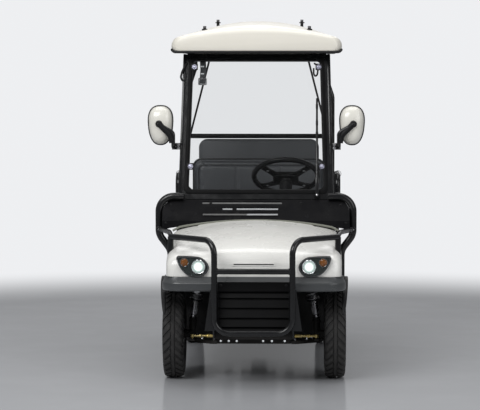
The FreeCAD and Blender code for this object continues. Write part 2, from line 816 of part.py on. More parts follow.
def make_knuckles():
    """Upright, spindle and steering arm of each front wheel."""
    for side, sign in (("left", 1), ("right", -1)):
        name = "knuckle_" + side
        x = s.king_pin_x
        y = s.front_axle_y
        low = s.arm_low + s.arm_thick + s.seat_gap
        hub_face = s.front_track / 2 - s.hub_depth / 2
        upright = rod(name + "_upright", s.upright_radius, s.upright_top - low, (x, y, low))
        z = s.axle_height
        flange = rod(name + "_flange", s.spindle_radius + 10, hub_face - 0.5 - x, (x, y, z), "x")
        spindle = rod(name + "_spindle", s.spindle_radius, s.hub_depth + 12, (hub_face - 2, y, z), "x")
        arm_top = s.rack_z - s.tie_radius - 8
        arm = block(name + "_arm", (x - 12, x + 12), (y - s.steer_arm - 14, y - 18),
                    (arm_top - 12, arm_top))
        form = fuse(name + "_form", [upright, flange, spindle, arm])
        node(name, form if sign > 0 else mirror(form, name))


def make_struts():
    """Damper with its spring, leaning in to the tower."""
    item = new_body("strut")
    top = s.strut_long
    waves = []
    turns = 5
    for index in range(turns):
        low = top * 0.34 + index * (top * 0.6 / turns)
        waves.append((s.strut_spring, low))
        waves.append((s.strut_spring, low + 10))
        waves.append((s.strut_spring - 9, low + 14))
    outline = [(0, 0), (s.strut_radius, 0), (s.strut_radius, top * 0.3)] + waves
    outline += [(s.strut_radius + 4, top), (0, top)]
    revolve(item, sketch(item, "XZ_Plane", outline), "V_Axis")
    place(item, s.king_pin_x, s.front_axle_y, s.upright_top + s.strut_clear,
          ((0, 1, 0), -s.strut_lean.number))
    pair("struts", item)


def make_rear_axle():
    """Axle tube with spindles, drive case, motor and spring perches."""
    y = s.rear_axle_y
    z = s.axle_height
    hub_face = s.rear_track / 2 - s.hub_depth / 2
    tube = rod("axle_tube", s.axle_tube, 2 * hub_face - 2, (1 - hub_face, y, z), "x")
    spindle = rod("axle_end", s.spindle_radius, 2 * (hub_face + s.hub_depth + 10),
                  (-hub_face - s.hub_depth - 10, y, z), "x")
    case = new_body("drive_case")
    revolve(case, sketch(case, "XZ_Plane", (
        (-66, 0), (66, 0), (66, 44), (40, 92), (-40, 92), (-66, 44),
    )))
    place(case, 0, y, z)
    motor = rod("motor_can", s.motor_radius, s.motor_long,
                (-s.motor_long / 2, y - s.motor_ahead, z + 8), "x")
    bridge = block("motor_bridge", (-40, 40), (y - s.motor_ahead, y), (z - 40, z + 50))
    perch = block("spring_perch", (s.rail_spread - 26, s.rail_spread + 26), (y - 38, y + 38),
                  (z, s.spring_low - s.seat_gap))
    node("rear_axle", fuse("rear_axle", [tube, spindle, case, motor, bridge, perch, mirror(perch)]))


def make_springs():
    """Leaf packs that hang from the raised rails over the rear axle."""
    y = s.rear_axle_y
    half = s.spring_half
    eye = s.rail_raised - s.spring_eye - s.seat_gap
    sag = eye - s.spring_low - s.leaf_thick
    item = new_body("leaf_pack")
    bow = (half * half + sag * sag) / (2 * sag)
    short = half * 0.62
    pad(item, sketch(item, "YZ_Plane", (
        (-half, eye, 0),
        (-half, eye - s.leaf_thick, bow),
        (half, eye - s.leaf_thick, 0),
        (half, eye, -bow),
    )), s.leaf_wide)
    lower = new_body("leaf_short")
    drop = sag * (short * short) / (half * half)
    second = (short * short + drop * drop) / (2 * drop)
    base = s.spring_low
    pad(lower, sketch(lower, "YZ_Plane", (
        (-short, base + drop + s.leaf_thick, 0),
        (-short, base + drop, second),
        (short, base + drop, 0),
        (short, base + drop + s.leaf_thick, -second),
    )), s.leaf_wide)
    place(item, s.rail_spread, y, 0)
    place(lower, s.rail_spread, y, 0)
    eyes = [rod("spring_eye_%d" % index, s.spring_eye, s.leaf_wide,
                (s.rail_spread - s.leaf_wide / 2, y + sign * half, eye), "x")
            for index, sign in enumerate((-1, 1))]
    pair("leaf_springs", fuse("leaf_spring", [item, lower] + eyes))


def make_battery():
    low = s.rail_bottom + s.rail_height + s.seat_gap
    y = s.seat_front_y + 34
    node("battery_block", block("battery_block", (-s.battery_wide, s.battery_wide), (y, y + s.battery_long),
                                (low, low + s.battery_high)))


# Floor and body


def make_floor():
    """Floor with its upright toe board, one panel."""
    item = new_body("floor_pan")
    front = s.floor_front_y
    thick = s.floor_thick
    pad(item, sketch(item, "YZ_Plane", (
        (front, s.floor_top - thick),
        (s.seat_front_y - s.seat_gap, s.floor_top - thick),
        (s.seat_front_y - s.seat_gap, s.floor_top),
        (front + 60, s.floor_top),
        (front + thick / 2, s.floor_top + 60),
        (front + thick / 2, s.toe_top),
        (front, s.toe_top),
    )), 2 * s.floor_half)
    node("floor_pan", item)


def make_sills():
    item = new_body("sill")
    low = s.floor_top + 7 - s.sill_height
    inner = s.floor_half + s.seat_gap
    pad(item, sketch(item, "XZ_Plane", (
        (inner, low),
        (inner + s.sill_width - 8, low, 10),
        (inner + s.sill_width, low + 10),
        (inner + s.sill_width, low + s.sill_height - 8, 8),
        (inner + s.sill_width - 8, low + s.sill_height),
        (inner, low + s.sill_height),
    )), s.seat_front_y - s.floor_front_y - 2 * s.seat_gap, "One side", True)
    place(item, 0, s.floor_front_y, 0)
    pair("sills", item)


NOSE_STATIONS = (
    # share of the way from the nose's face to its back, share of the hood's height, width lost
    (0.0, 0.0, 36),
    (0.018, 0.15, 18),
    (0.05, 0.29, 6),
    (0.13, 0.42, 1),
    (0.33, 0.62, 0),
    (0.64, 0.84, 0),
    (1.0, 1.0, 0),
)


def nose_form(name, inset):
    """The nose's outside, or the hollow under its skin when inset."""
    item = new_body(name)
    long = s.nose_back_y - s.nose_front_y
    rise = s.nose_high - s.nose_brow
    sections = []
    for index, (along, up, lost) in enumerate(NOSE_STATIONS):
        y = s.nose_front_y + long * along
        if index == 0:
            y = y + inset
        if index == len(NOSE_STATIONS) - 1:
            y = y + inset * 2
        middle = s.nose_brow + rise * up - inset
        drop = s.nose_crown * (0.35 + 0.65 * up)
        sections.append(crowned_section(item, y, s.nose_half - lost - inset, s.body_low - inset,
                                        middle - drop, middle, s.nose_round - inset, "rib_%d" % index))
    loft(item, sections)
    return item


def make_front_body():
    """Nose and hood in one moulding, open below, over the wheels and for the lamps."""
    shell = cut("nose_shell", nose_form("nose_outside", 0), nose_form("nose_inside", s.panel_wall))
    reach = s.nose_half + 10
    under = block("nose_under", (-reach, reach), (s.nose_front_y - 20, s.front_axle_y),
                  (s.body_low - 20, s.nose_low))
    arch = rod("front_arch", s.arch_radius, 2 * reach, (-reach, s.front_axle_y, s.axle_height), "x")
    lamp = lamp_form("lamp_hole", s.seat_gap, s.lamp_deep + 60)
    slot = block("nose_slot", (-s.slot_half, s.slot_half), (s.nose_front_y - 20, s.nose_front_y + 20),
                 (s.slot_z - 3, s.slot_z + 3))
    tools = fuse("nose_cuts", [under, arch, lamp, mirror(lamp), slot])
    node("front_body", cut("front_body", shell, tools))


def make_arch_lips():
    """Front wheel arch liners, each with a lip that laps over the body's side."""
    axle = s.front_axle_y
    side = s.nose_half + s.seat_gap
    z = s.axle_height
    inner = s.arch_radius - s.flare_wall
    lip = rod("lip_outer", s.arch_radius + s.flare_over, s.flare_half - side, (side, axle, z), "x")
    liner = rod("liner_outer", s.arch_radius - s.seat_gap, side - s.liner_inner + 1,
                (s.liner_inner, axle, z), "x")
    hollow = rod("lip_inner", inner, s.flare_half, (s.liner_inner - 10, axle, z), "x")
    wide = s.arch_radius + s.flare_over + 10
    xs = (s.liner_inner - 10, s.flare_half + 10)
    under = block("lip_under", xs, (axle - wide, axle + wide), (z - wide, s.lip_low))
    ahead = block("lip_ahead", (s.liner_inner - 10, side), (axle - wide, axle - s.arch_radius * 0.62),
                  (s.lip_low - 10, s.nose_low + 50))
    form = fuse("lip_form", [lip, liner])
    pair("arch_lips", cut("arch_lip", form, fuse("lip_cuts", [hollow, under, ahead])))


def make_bumper():
    """Wraps round the nose, its corners swept back and its top edge bevelled."""
    item = new_body("front_bumper")
    face = s.bumper_front_y
    half = s.bumper_half
    bend = s.bumper_round
    gap = s.seat_gap
    back = s.nose_front_y - gap
    long = s.nose_back_y - s.nose_front_y
    inner = []
    for along, up, lost in NOSE_STATIONS[:4]:
        inner.append((s.nose_half - lost + gap * 2, back + long * along))
    end = s.bumper_end_y
    right = [(half - bend, face, bend), (half, face + bend), (half, end), (s.nose_half + gap * 2, end)]
    left = [(-x, y) for x, y in inner]
    left += [(-s.nose_half - gap * 2, end), (-half, end), (-half, face + bend, bend)]
    rows = [(bend - half, face)] + right + inner[::-1] + left
    pad(item, sketch(item, "XY_Plane", rows), s.bumper_high - s.bumper_low, "One side")
    doc.recompute()
    top = number_of(s.bumper_high - s.bumper_low) - 0.01
    outside = number_of(half) - 1
    front = number_of(face)

    def upper_outer(edge):
        box = edge.BoundBox
        along_front = box.YMax < front + number_of(bend) + 1 and box.YMin < front + 1
        along_side = abs(box.XMin) > outside and abs(box.XMax) > outside
        return box.ZMin > top and (along_front or along_side)

    last = item.Tip
    names = ["Edge%d" % (index + 1) for index, edge in enumerate(last.Shape.Edges) if upper_outer(edge)]
    bevel = item.newObject("PartDesign::Chamfer", "bumper_bevel")
    bevel.Base = (last, names)
    bind(bevel, Size=s.bumper_slope)
    node("front_bumper", place(item, 0, 0, s.bumper_low))


LOUVRES = (
    # slats' tops and feet below the panel's top
    (57, 83),
    (87, 135),
    (139, 188),
    (192, 237),
    (241, 267),
)


def make_grille():
    """Louvre panel: a plain head above slanted slats between two cheeks."""
    face = s.grille_y
    deep = s.grille_deep
    high = s.grille_high
    head = new_body("grille_head")
    pad(head, sketch(head, "YZ_Plane", (
        (face + 6, high - s.grille_head),
        (face + deep, high - s.grille_head),
        (face + deep, high),
        (face, high),
        (face, high - s.grille_head + 6),
    )), 2 * s.grille_half)
    pieces = [head]
    for index, (top, foot) in enumerate(LOUVRES):
        slat = new_body("louvre_%d" % index)
        pad(slat, sketch(slat, "YZ_Plane", (
            (face, high - foot),
            (face + 5, high - foot),
            (face + deep, high - top - 6),
            (face + deep, high - top),
            (face + deep - 5, high - top),
        )), 2 * s.grille_half)
        pieces.append(slat)
    cheek = block("grille_cheek", (s.grille_half - 5, s.grille_half), (face, face + deep),
                  (s.grille_low, s.grille_high))
    plate = block("grille_back", (-s.grille_half, s.grille_half),
                  (face + deep, face + deep + s.louvre_back),
                  (s.grille_low, s.grille_high))
    pieces += [cheek, mirror(cheek), plate]
    node("grille", fuse("grille", pieces))


def make_bull_bar():
    """Bent tube from one shoulder of the hood round the nose to the other, cross tube, plates."""
    y = s.guard_y
    half = s.guard_half
    high = s.guard_high
    side = ((s.guard_end_x, s.guard_end_y, high), (half, y, high))
    low = ((half, y, s.guard_low), (-half, y, s.guard_low))
    rows = side + low + tuple((-row[0], row[1], row[2]) for row in reversed(side))
    hoop = shape("guard_hoop", bent_tube(rows, s.guard_tube, s.guard_bend))
    cross = rod("guard_cross", s.guard_tube - 1, 2 * half, (-half, y, s.guard_cross), "x")
    foot = new_body("guard_foot")
    plate = 8
    pad(foot, sketch(foot, "YZ_Plane", (
        (y, s.guard_low + 20),
        (s.grille_y - 2, s.rail_bottom + 6),
        (s.rail_front_y + 90, s.rail_bottom + 6),
        (s.rail_front_y + 90, s.rail_bottom + s.rail_height - 4),
        (s.rail_front_y, s.rail_bottom + s.rail_height + 20),
        (s.grille_y - 2, s.guard_foot_top),
        (y, s.guard_foot_top),
    )), plate)
    place(foot, s.rail_spread + s.rail_width / 2 + s.seat_gap + plate / 2, 0, 0)
    gusset = new_body("guard_gusset")
    pad(gusset, sketch(gusset, "XZ_Plane", (
        (half - 4, s.guard_low + 12),
        (half + s.gusset_low, s.guard_low + 12),
        (half + s.gusset_high, s.guard_foot_top),
        (half - 4, s.guard_foot_top),
    )), plate, "One side", True)
    place(gusset, 0, y + 2, 0)
    post = rod("guard_post", s.guard_tube, high - s.nose_brow, (s.guard_end_x, s.guard_end_y, s.nose_brow))
    ending = cut("guard_post_cut", post, nose_form("nose_clear", -s.seat_gap))
    side_pieces = [foot, gusset, ending]
    node("bull_bar", fuse("bull_bar", [hoop, cross] + side_pieces + [mirror(item) for item in side_pieces]))


def make_cowl():
    """Scuttle panel that fills the side hoops, its foot arched over the hood, with rows of slots."""
    item = new_body("cowl_form")
    wall = s.cowl_wall
    half = s.cowl_half
    pad(item, sketch(item, "YZ_Plane", (
        (s.nose_back_y, s.cowl_end),
        (s.nose_back_y + wall, s.cowl_end),
        (s.nose_back_y + wall, s.cowl_mid),
        (s.cowl_back_y + wall, s.cowl_top),
        (s.cowl_back_y, s.cowl_top),
        (s.nose_back_y, s.cowl_mid),
    )), 2 * half)
    for index, (below, left, right) in enumerate(COWL_SLOTS):
        tall = s.slot_tall / 2
        low = s.cowl_top - below
        rows = ((left, low - tall), (right, low - tall), (right, low + tall), (left, low + tall))
        pocket(item, sketch(item, "XZ_Plane", rows, "slot_%d" % index), s.slot_reach)
    face = new_body("cowl_face")
    corner = s.hoop_bend - s.hoop_tube - s.seat_gap
    rise = s.cowl_mid - s.cowl_end
    bow = (half * half + rise * rise) / (2 * rise)
    pad(face, sketch(face, "XZ_Plane", (
        (-half, s.cowl_end, -bow),
        (half, s.cowl_end),
        (half, s.cowl_top - corner, corner),
        (half - corner, s.cowl_top),
        (corner - half, s.cowl_top, corner),
        (-half, s.cowl_top - corner),
    )), 1200)
    panel = doc.addObject("Part::Common", "cowl_panel")
    panel.Base = item
    panel.Tool = face
    node("cowl_panel", panel)


COWL_SLOTS = (
    # below the panel's top edge, right end, left end
    (15, -296, 145),
    (48, -184, -130),
    (48, -106, 124),
    (78, -294, 122),
)


def make_side_hoops():
    """Tube from the windscreen frame's foot, out round the cowl's side and down to the sill."""
    y = s.hoop_y
    out = s.hoop_half
    foot = s.floor_top + 7 + s.seat_gap
    solid = bent_tube((
        (s.screen_half_low - 14, y, s.hoop_top),
        (out, y, s.hoop_top),
        (out, y, s.cowl_mid - 82),
        (s.hoop_low_x, y, s.cowl_mid - 168),
        (s.hoop_low_x, y, foot),
    ), s.hoop_tube, s.hoop_bend)
    pair("side_hoops", shape("side_hoop", solid))


# Windscreen


def tilt_screen(item):
    return place(item, 0, s.screen_y, s.screen_low, ((1, 0, 0), -s.screen_rake.number))


def make_windscreen():
    """Frame of four bars, pane against its front, both on the frame's slope."""
    bar = s.screen_bar
    frame = new_body("windscreen_frame")
    pad(frame, sketch(frame, "XZ_Plane", round_rect(
        s.screen_half_low, s.screen_half_high, 0, s.screen_long, 24)), s.screen_deep)
    pocket(frame, sketch(frame, "XZ_Plane", round_rect(
        s.screen_half_low - bar, s.screen_half_high - bar, bar + 14, s.screen_long - bar, 20), "opening"),
        s.screen_deep * 3)
    node("windscreen_frame", tilt_screen(frame))
    pane = new_body("windscreen")
    edge = bar - s.glass_lap
    pad(pane, sketch(pane, "XZ_Plane", round_rect(
        s.screen_half_low - edge, s.screen_half_high - edge, edge + 14, s.screen_long - edge, 24)),
        s.glass_thick, "One side")
    ahead = s.screen_deep / 2
    place(pane, 0, s.screen_y - ahead * cosine(s.screen_rake), s.screen_low + ahead * sine(s.screen_rake),
          ((1, 0, 0), -s.screen_rake.number))
    node("windscreen", pane)


def make_wiper():
    """Spindle cap, tapered arm and blade that parks upright beside the pillar."""
    ahead = s.screen_deep / 2 + s.seat_gap
    cap = new_body("wiper_cap")
    revolve(cap, sketch(cap, "XZ_Plane", ((0, 0), (0, 30), (10, 30), (15, 24), (15, 0)), "cap"), "V_Axis")
    place(cap, 0, -ahead, 0, ((1, 0, 0), 90))
    arm = new_body("wiper_arm")
    pad(arm, sketch(arm, "XZ_Plane", (
        (-8, -8), (8, -8), (5, s.wiper_long * 0.62), (-5, s.wiper_long * 0.62),
    )), 6)
    place(arm, 0, -ahead - 20, 0)
    blade = new_body("wiper_blade")
    low = s.wiper_long * 0.18
    pad(blade, sketch(blade, "XY_Plane", (
        (-6, -18), (6, -18), (7, -10), (1.5, -6), (1.5, 0), (-1.5, 0), (-1.5, -6), (-7, -10),
    )), s.wiper_long - low, "One side")
    place(blade, 0, -s.screen_deep / 2 - s.glass_thick - s.seat_gap, low)
    turned = fuse("wiper_form", [cap, arm, blade])
    up = s.wiper_up
    foot_y = s.screen_y + up * sine(s.screen_rake)
    foot_z = s.screen_low + up * cosine(s.screen_rake)
    place(turned, s.wiper_x, foot_y, foot_z, ((1, 0, 0), -s.screen_rake.number))
    node("wiper", turned)


# Driving place


def make_dashboard():
    item = new_body("dash_form")
    front = s.floor_front_y
    back = s.dash_back_y
    pad(item, sketch(item, "YZ_Plane", (
        (front, s.dash_low),
        (back - 18, s.dash_low),
        (back, s.dash_low + 60, 0),
        (back + 10, s.cowl_top - 62, 46),
        (back - 34, s.cowl_top - 8, 0),
        (s.cowl_back_y + 14, s.cowl_top - 4),
        (front, s.cowl_mid - 8),
    )), 2 * s.dash_half)
    long = s.column_long * 2
    hole = tilt_column(rod("column_hole", s.column_radius + s.seat_gap, long, (0, 0, 0)), long)
    tray = block("dash_tray", (-0.82 * s.dash_half, -0.16 * s.dash_half), (back - s.tray_deep, back + 60),
                 (s.tray_low, s.tray_high))
    node("dashboard", cut("dashboard", item, fuse("dash_cuts", [hole, tray])))


def tilt_column(item, along=0):
    """Put an item on the steering axis, a distance below the wheel's centre."""
    back = along * sine(s.wheel_tilt)
    down = along * cosine(s.wheel_tilt)
    return place(item, s.wheel_x, s.wheel_y - back, s.wheel_z - down, ((1, 0, 0), -s.wheel_tilt.number))


def make_column():
    item = new_body("steering_column")
    start = s.hub_drop + 0.5
    revolve(item, sketch(item, "XZ_Plane", (
        (0, -start - s.column_long),
        (s.column_radius, -start - s.column_long),
        (s.column_radius, -start - 150),
        (s.column_radius + 12, -start - 110),
        (s.column_radius + 12, -start - 12),
        (s.column_radius + 4, -start),
        (0, -start),
    )), "V_Axis")
    node("steering_column", tilt_column(item))


def make_steering_wheel():
    """Ring, four spokes and hub."""
    ring = doc.addObject("Part::Torus", "wheel_ring")
    bind(ring, Radius1=s.wheel_ring, Radius2=s.wheel_grip)
    hub = new_body("wheel_hub")
    revolve(hub, sketch(hub, "XZ_Plane", (
        (0, -s.hub_drop), (24, -s.hub_drop), (26, -14), (50, -6), (52, 10), (40, 18), (0, 20),
    )), "V_Axis")
    pieces = [ring, hub]
    for index, angle in enumerate((38, 142, 218, 322)):
        spoke = new_body("wheel_spoke_%d" % index)
        pad(spoke, sketch(spoke, "XY_Plane", (
            (30, -13), (s.wheel_ring - 4, -9), (s.wheel_ring - 4, 9), (30, 13),
        )), 8)
        spoke.Placement = FreeCAD.Placement(VECTOR(0, 0, 0), FreeCAD.Rotation(VECTOR(0, 0, 1), angle))
        pieces.append(spoke)
    node("steering_wheel", tilt_column(fuse("steering_wheel", pieces)))


def make_pedals():
    """Brake and accelerator on arms from the toe board."""
    pieces = []
    wall = s.floor_front_y + s.floor_thick / 2 + s.seat_gap
    for name, x, half, low in (
        ("brake", s.wheel_x - 60, 38, 440),
        ("accelerator", s.wheel_x + 75, 30, 430),
    ):
        arm = block(name + "_arm", (x - 7, x + 7), (wall, wall + 46), (low + 60, low + 74))
        face = block(name + "_face", (x - half, x + half), (wall + 40, wall + 50), (low, low + 80))
        pieces.append(fuse(name + "_pedal", [arm, face]))
    node("pedals", group("pedals", pieces))


# Lamps and mirrors


LAMP_OUTLINE = (
    # outward from the lamp's middle, up, radius of the side that follows
    (-55, -50, 130),
    (30, -44, 150),
    (86, 38, 12),
    (74, 54, 700),
    (-30, 50, 70),
    (-85, 0, 58),
)


def lamp_form(name, gap, deep):
    """Left lamp's outline padded back from ahead of the nose, larger by a gap."""
    item = new_body(name)
    grow = 1 + gap / 45
    rows = [(x * grow, z * grow, radius * grow) for x, z, radius in LAMP_OUTLINE]
    pad(item, sketch(item, "XZ_Plane", rows), deep, "One side", True)
    ahead = s.lamp_proud + (deep - s.lamp_deep) / 2
    return place(item, s.lamp_x, s.nose_front_y - ahead, s.lamp_z)


def make_lamps():
    """Lamp housings in the nose, and their round lenses."""
    face = s.nose_front_y - s.lamp_proud
    pair("head_lamps", lamp_form("lamp_case", 0 * s.seat_gap, s.lamp_deep))
    lenses = []
    for name, x, z, radius in (("beam", s.beam_x, s.beam_z, s.beam_radius),
                               ("turn", s.turn_x, s.turn_z, s.turn_radius)):
        lens = new_body(name + "_lens")
        outline = ((0, 0), (radius, 0), (radius, 3), (radius * 0.6, 9), (0, 11))
        revolve(lens, sketch(lens, "XZ_Plane", outline), "V_Axis")
        place(lens, x, face - s.seat_gap, z, ((1, 0, 0), 90))
        lenses += [lens, mirror(lens)]
    node("lamp_lenses", group("lamp_lenses", lenses))


def make_mirrors():
    """Rounded housing with its glass let into the back, and an arm from the pillar."""
    wide, tall = s.mirror_wide / 2, s.mirror_tall / 2
    deep = s.mirror_deep
    x, y, z = s.mirror_half, s.mirror_y, s.mirror_z
    case = new_body("mirror_case")
    outside = round_rect(wide - 8, wide, -tall, tall, s.mirror_round)
    pad(case, sketch(case, "XZ_Plane", outside), deep, "One side")
    face = -number_of(deep) + 0.01
    round_edges(case, s.mirror_edge, lambda edge: edge.BoundBox.YMax < face)
    sunk = 3
    rim = 6
    seat = round_rect(wide - 8 - rim, wide - rim, rim - tall, tall - rim, s.mirror_round - rim)
    pocket(case, sketch(case, "XZ_Plane", seat, "seat"), 2 * sunk)
    pair("mirrors", place(case, x, y, z))
    pane = new_body("mirror_glass")
    gap = s.seat_gap
    rim = rim + gap
    face = round_rect(wide - 8 - rim, wide - rim, rim - tall, tall - rim, s.mirror_round - rim)
    pad(pane, sketch(pane, "XZ_Plane", face), sunk - gap, "One side")
    pair("mirror_glasses", place(pane, x, y, z))
    tube = s.mirror_arm
    front = y - deep - tube - gap
    foot_x, foot_y, foot_z = s.mirror_foot_x, s.mirror_foot_y, s.mirror_foot_z
    bracket = block("mirror_bracket", (foot_x, foot_x + 62), (foot_y - 16, foot_y + 14),
                    (foot_z - 18, foot_z + 18))
    stem_x = foot_x + 50
    arm = shape("mirror_stem", bent_tube((
        (stem_x, foot_y - 4, foot_z),
        (stem_x, front, foot_z),
        (stem_x, front, z - 40),
        (x + 8, front, z + 8),
    ), tube, 26))
    cap = doc.addObject("Part::Sphere", "mirror_arm_cap")
    bind(cap, Radius=tube)
    place(cap, x + 8, front, z + 8)
    pair("mirror_arms", fuse("mirror_arm", [bracket, arm, cap]))


# Seats


def make_rear_body():
    """Body over the rear wheels, hollow below, with the battery hatch under the front bench."""
    wall = s.panel_wall
    rear_axle = s.rear_axle_y

    def form(name, inset):
        item = new_body(name)
        pad(item, sketch(item, "YZ_Plane", (
            (s.seat_front_y + inset, s.body_low - inset),
            (rear_axle, s.body_low - inset),
            (rear_axle, s.body_tail_low - inset),
            (s.body_back_y - inset, s.body_tail_low - inset),
            (s.body_back_y - inset, s.body_top - inset),
            (s.seat_front_y + inset, s.body_top - inset),
        )), 2 * (s.body_half - inset))
        half = number_of(s.body_half - inset) - 0.5
        round_edges(item, 40 - inset, lambda edge: runs_along(edge, (0, 0, 1))
                    and abs(edge.BoundBox.XMin) > half
                    and abs(edge.BoundBox.YMin - number_of(rear_axle)) > 5)
        return item

    shell = cut("rear_shell", form("rear_outside", 0), form("rear_inside", wall))
    reach = s.body_half + 10
    arch = rod("rear_arch_cut", s.rear_arch, 2 * reach, (-reach, rear_axle, s.axle_height), "x")
    start = s.seat_front_y + 24
    hatch = block("battery_hatch", (-s.hatch_half, s.hatch_half), (start, start + s.hatch_long),
                  (s.body_top - 20, s.body_top + 10))
    node("rear_body", cut("rear_body", shell, fuse("rear_cuts", [arch, hatch])))
    make_rear_liners(rear_axle)


def make_rear_liners(axle):
    """Black liners inside the rear wheel arches."""
    z = s.axle_height
    outer_x = s.body_half - s.panel_wall - s.seat_gap
    long = outer_x - s.rear_liner_inner
    over = s.rear_arch
    liner = rod("rear_liner_outer", over, long, (s.rear_liner_inner, axle, z), "x")
    hollow = rod("rear_liner_hollow", over - s.liner_wall, long + 20,
                 (s.rear_liner_inner - 10, axle, z), "x")
    wide = over + 10
    under = block("rear_liner_under", (s.rear_liner_inner - 10, outer_x + 10), (axle - wide, axle + wide),
                  (z - wide, s.body_tail_low))
    pair("rear_liners", cut("rear_liner", liner, fuse("rear_liner_cuts", [hollow, under])))


def make_seats():
    """Two benches back to back: cushions and backrests."""
    gap = s.seat_gap
    low = s.body_top + gap
    bar = s.post_tube + gap
    cushion("front_seat", (-s.seat_half, s.seat_half), (s.seat_front_y, s.seat_front_y + s.seat_long),
            (low, s.seat_high), s.seat_round)
    cushion("rear_seat", (-s.seat_half, s.seat_half), (s.body_back_y - s.rear_seat_long, s.body_back_y),
            (low, s.seat_high - 10), s.seat_round)
    cushion("front_backrest", (-s.back_half, s.back_half), (s.post_y - bar - s.back_thick, s.post_y - bar),
            (s.back_low, s.back_high), s.seat_round - 6)
    cushion("rear_backrest", (-s.rear_back_half, s.rear_back_half),
            (s.post_y + bar, s.post_y + bar + s.back_thick),
            (s.rear_back_low, s.rear_back_high), s.seat_round - 6)


def make_seat_frame():
    """Two posts from the rear body to the roof rails, joined by bars behind the backrests."""
    y = s.post_y
    pieces = []
    post = shape("seat_post", bent_tube((
        (s.post_half, y, s.body_top + s.seat_gap),
        (s.post_half, y, s.post_bend_z),
        (s.rail_half, y, s.roof_rail_z - 70),
        (s.rail_half, y, s.roof_rail_z - s.rail_tube - s.seat_gap),
    ), s.post_tube, 90))
    pieces += [post, mirror(post)]
    for index, z in enumerate((s.back_low + 60, s.back_high - 60, s.cross_bar_z)):
        pieces.append(rod("seat_bar_%d" % index, s.post_tube, 2 * s.post_half, (-s.post_half, y, z), "x"))
    node("seat_frame", fuse("seat_frame", pieces))


def make_arm_rests():
    """Hip restraint at each end of the bench, from the body up and back to the post."""
    x = s.post_half + s.post_tube + s.arm_tube + s.seat_gap
    y = s.seat_front_y + s.arm_back
    rows = (
        (x, y, s.body_top + s.seat_gap),
        (x, y, s.arm_top),
        (x, s.post_y + s.post_tube, s.arm_top),
    )
    grip = (
        (x, y, s.arm_top - s.grip_down),
        (x, y, s.arm_top),
        (x, y + s.grip_long, s.arm_top),
    )
    bar = shape("arm_bar", bent_tube(rows, s.arm_tube, 60))
    soft = shape("arm_soft", bent_tube(grip, s.arm_grip, 60))
    pair("arm_rests", fuse("arm_rest", [bar, soft]))


# Roof


ROOF_STATIONS = (
    # share of the roof's length, width lost, height lost at the ends, share of the crown
    (0.0, 30, 3, 0.0),
    (0.014, 12, 0, 0.12),
    (0.045, 3, 0, 0.27),
    (0.16, 0, 0, 0.52),
    (0.36, 0, 0, 0.80),
    (0.58, 0, 0, 0.97),
    (0.80, 0, 0, 1.0),
    (0.94, 2, 0, 0.86),
    (0.985, 10, 2, 0.66),
    (1.0, 24, 6, 0.40),
)


def roof_form(name, inset):
    item = new_body(name)
    sections = []
    last = len(ROOF_STATIONS) - 1
    corner = s.roof_corner - inset
    under = 10 if number_of(inset) else 0
    for index, (along, lost, drop, crown) in enumerate(ROOF_STATIONS):
        y = s.roof_front_y + s.roof_long * along
        if index == 0:
            y = y + inset
        if index == last:
            y = y - inset
        edge = s.roof_low + s.roof_end_high - drop - inset
        middle = s.roof_low + s.roof_mid_high + s.roof_rise * crown - inset
        half = s.roof_half - lost - inset
        sections.append(crowned_section(item, y, half, s.roof_low - under, edge, middle, corner,
                                        "rib_%d" % index))
    loft(item, sections)
    return item


def make_roof():
    outside = roof_form("roof_outside", 0)
    node("roof", cut("roof", outside, roof_form("roof_inside", s.roof_skin)))
    make_roof_studs(outside)
    rim_form = new_body("roof_rim")
    low = s.roof_low - s.rim_tall - s.seat_gap
    half = s.roof_half - 4
    front = s.roof_front_y + 8
    back = s.roof_front_y + s.roof_long - 8
    mid = (front + back) / 2
    long = (back - front) / 2
    pad(rim_form, sketch(rim_form, "XY_Plane", round_rect(half, half, -long, long, s.roof_round)),
        s.rim_tall, "One side")
    inner = s.rail_half - s.rail_tube
    pocket(rim_form, sketch(rim_form, "XY_Plane", round_rect(inner, inner, 60 - long, long - 60,
                                                             s.roof_round - 20), "opening"), 100)
    node("roof_rim", place(rim_form, 0, mid, low))


def make_roof_studs(outside):
    """Four studs that a roof rack fastens to, their feet on the roof's curved top."""
    studs = []
    for name, x, y, foot, top in (
        ("front", s.stud_front_half, s.stud_front_y, s.stud_front_foot, s.stud_front_top),
        ("back", s.stud_back_half, s.stud_back_y, s.stud_back_foot, s.stud_back_top),
    ):
        foot = foot + s.roof_low
        post = rod(name + "_post", s.stud_radius, top + s.roof_low - foot + 2,
                   (x, y, foot - 2))
        seat = rod(name + "_seat", s.stud_radius + s.stud_foot, s.roof_rise, (x, y, foot - s.roof_rise))
        stud = cut(name + "_stud", fuse(name + "_whole", [post, seat]), outside)
        studs += [stud, mirror(stud)]
    node("roof_studs", group("roof_studs", studs))


def make_roof_frame():
    """Side rails from the windscreen frame back past the posts, cross bars and straight stays."""
    z = s.roof_rail_z
    top_y = s.screen_y + s.screen_long * sine(s.screen_rake)
    start = top_y + s.screen_deep / 2 + 3
    end = s.roof_front_y + s.roof_long - 60
    side = rod("roof_rail", s.rail_tube, end - start, (s.rail_half, start, z), "y")
    pieces = [side, mirror(side)]
    for index, y in enumerate((start + 60, s.stay_y, end - 16)):
        pieces.append(rod("roof_bar_%d" % index, s.post_tube, 2 * s.rail_half, (-s.rail_half, y, z), "x"))
    foot = (s.post_half, s.stay_y, s.stay_low)
    stay = shape("roof_stay", straight_bar((s.stay_top_x, s.stay_y, z), foot, s.stay_tube))
    pieces += [stay, mirror(stay)]
    node("roof_frame", fuse("roof_frame", pieces))


# Tail


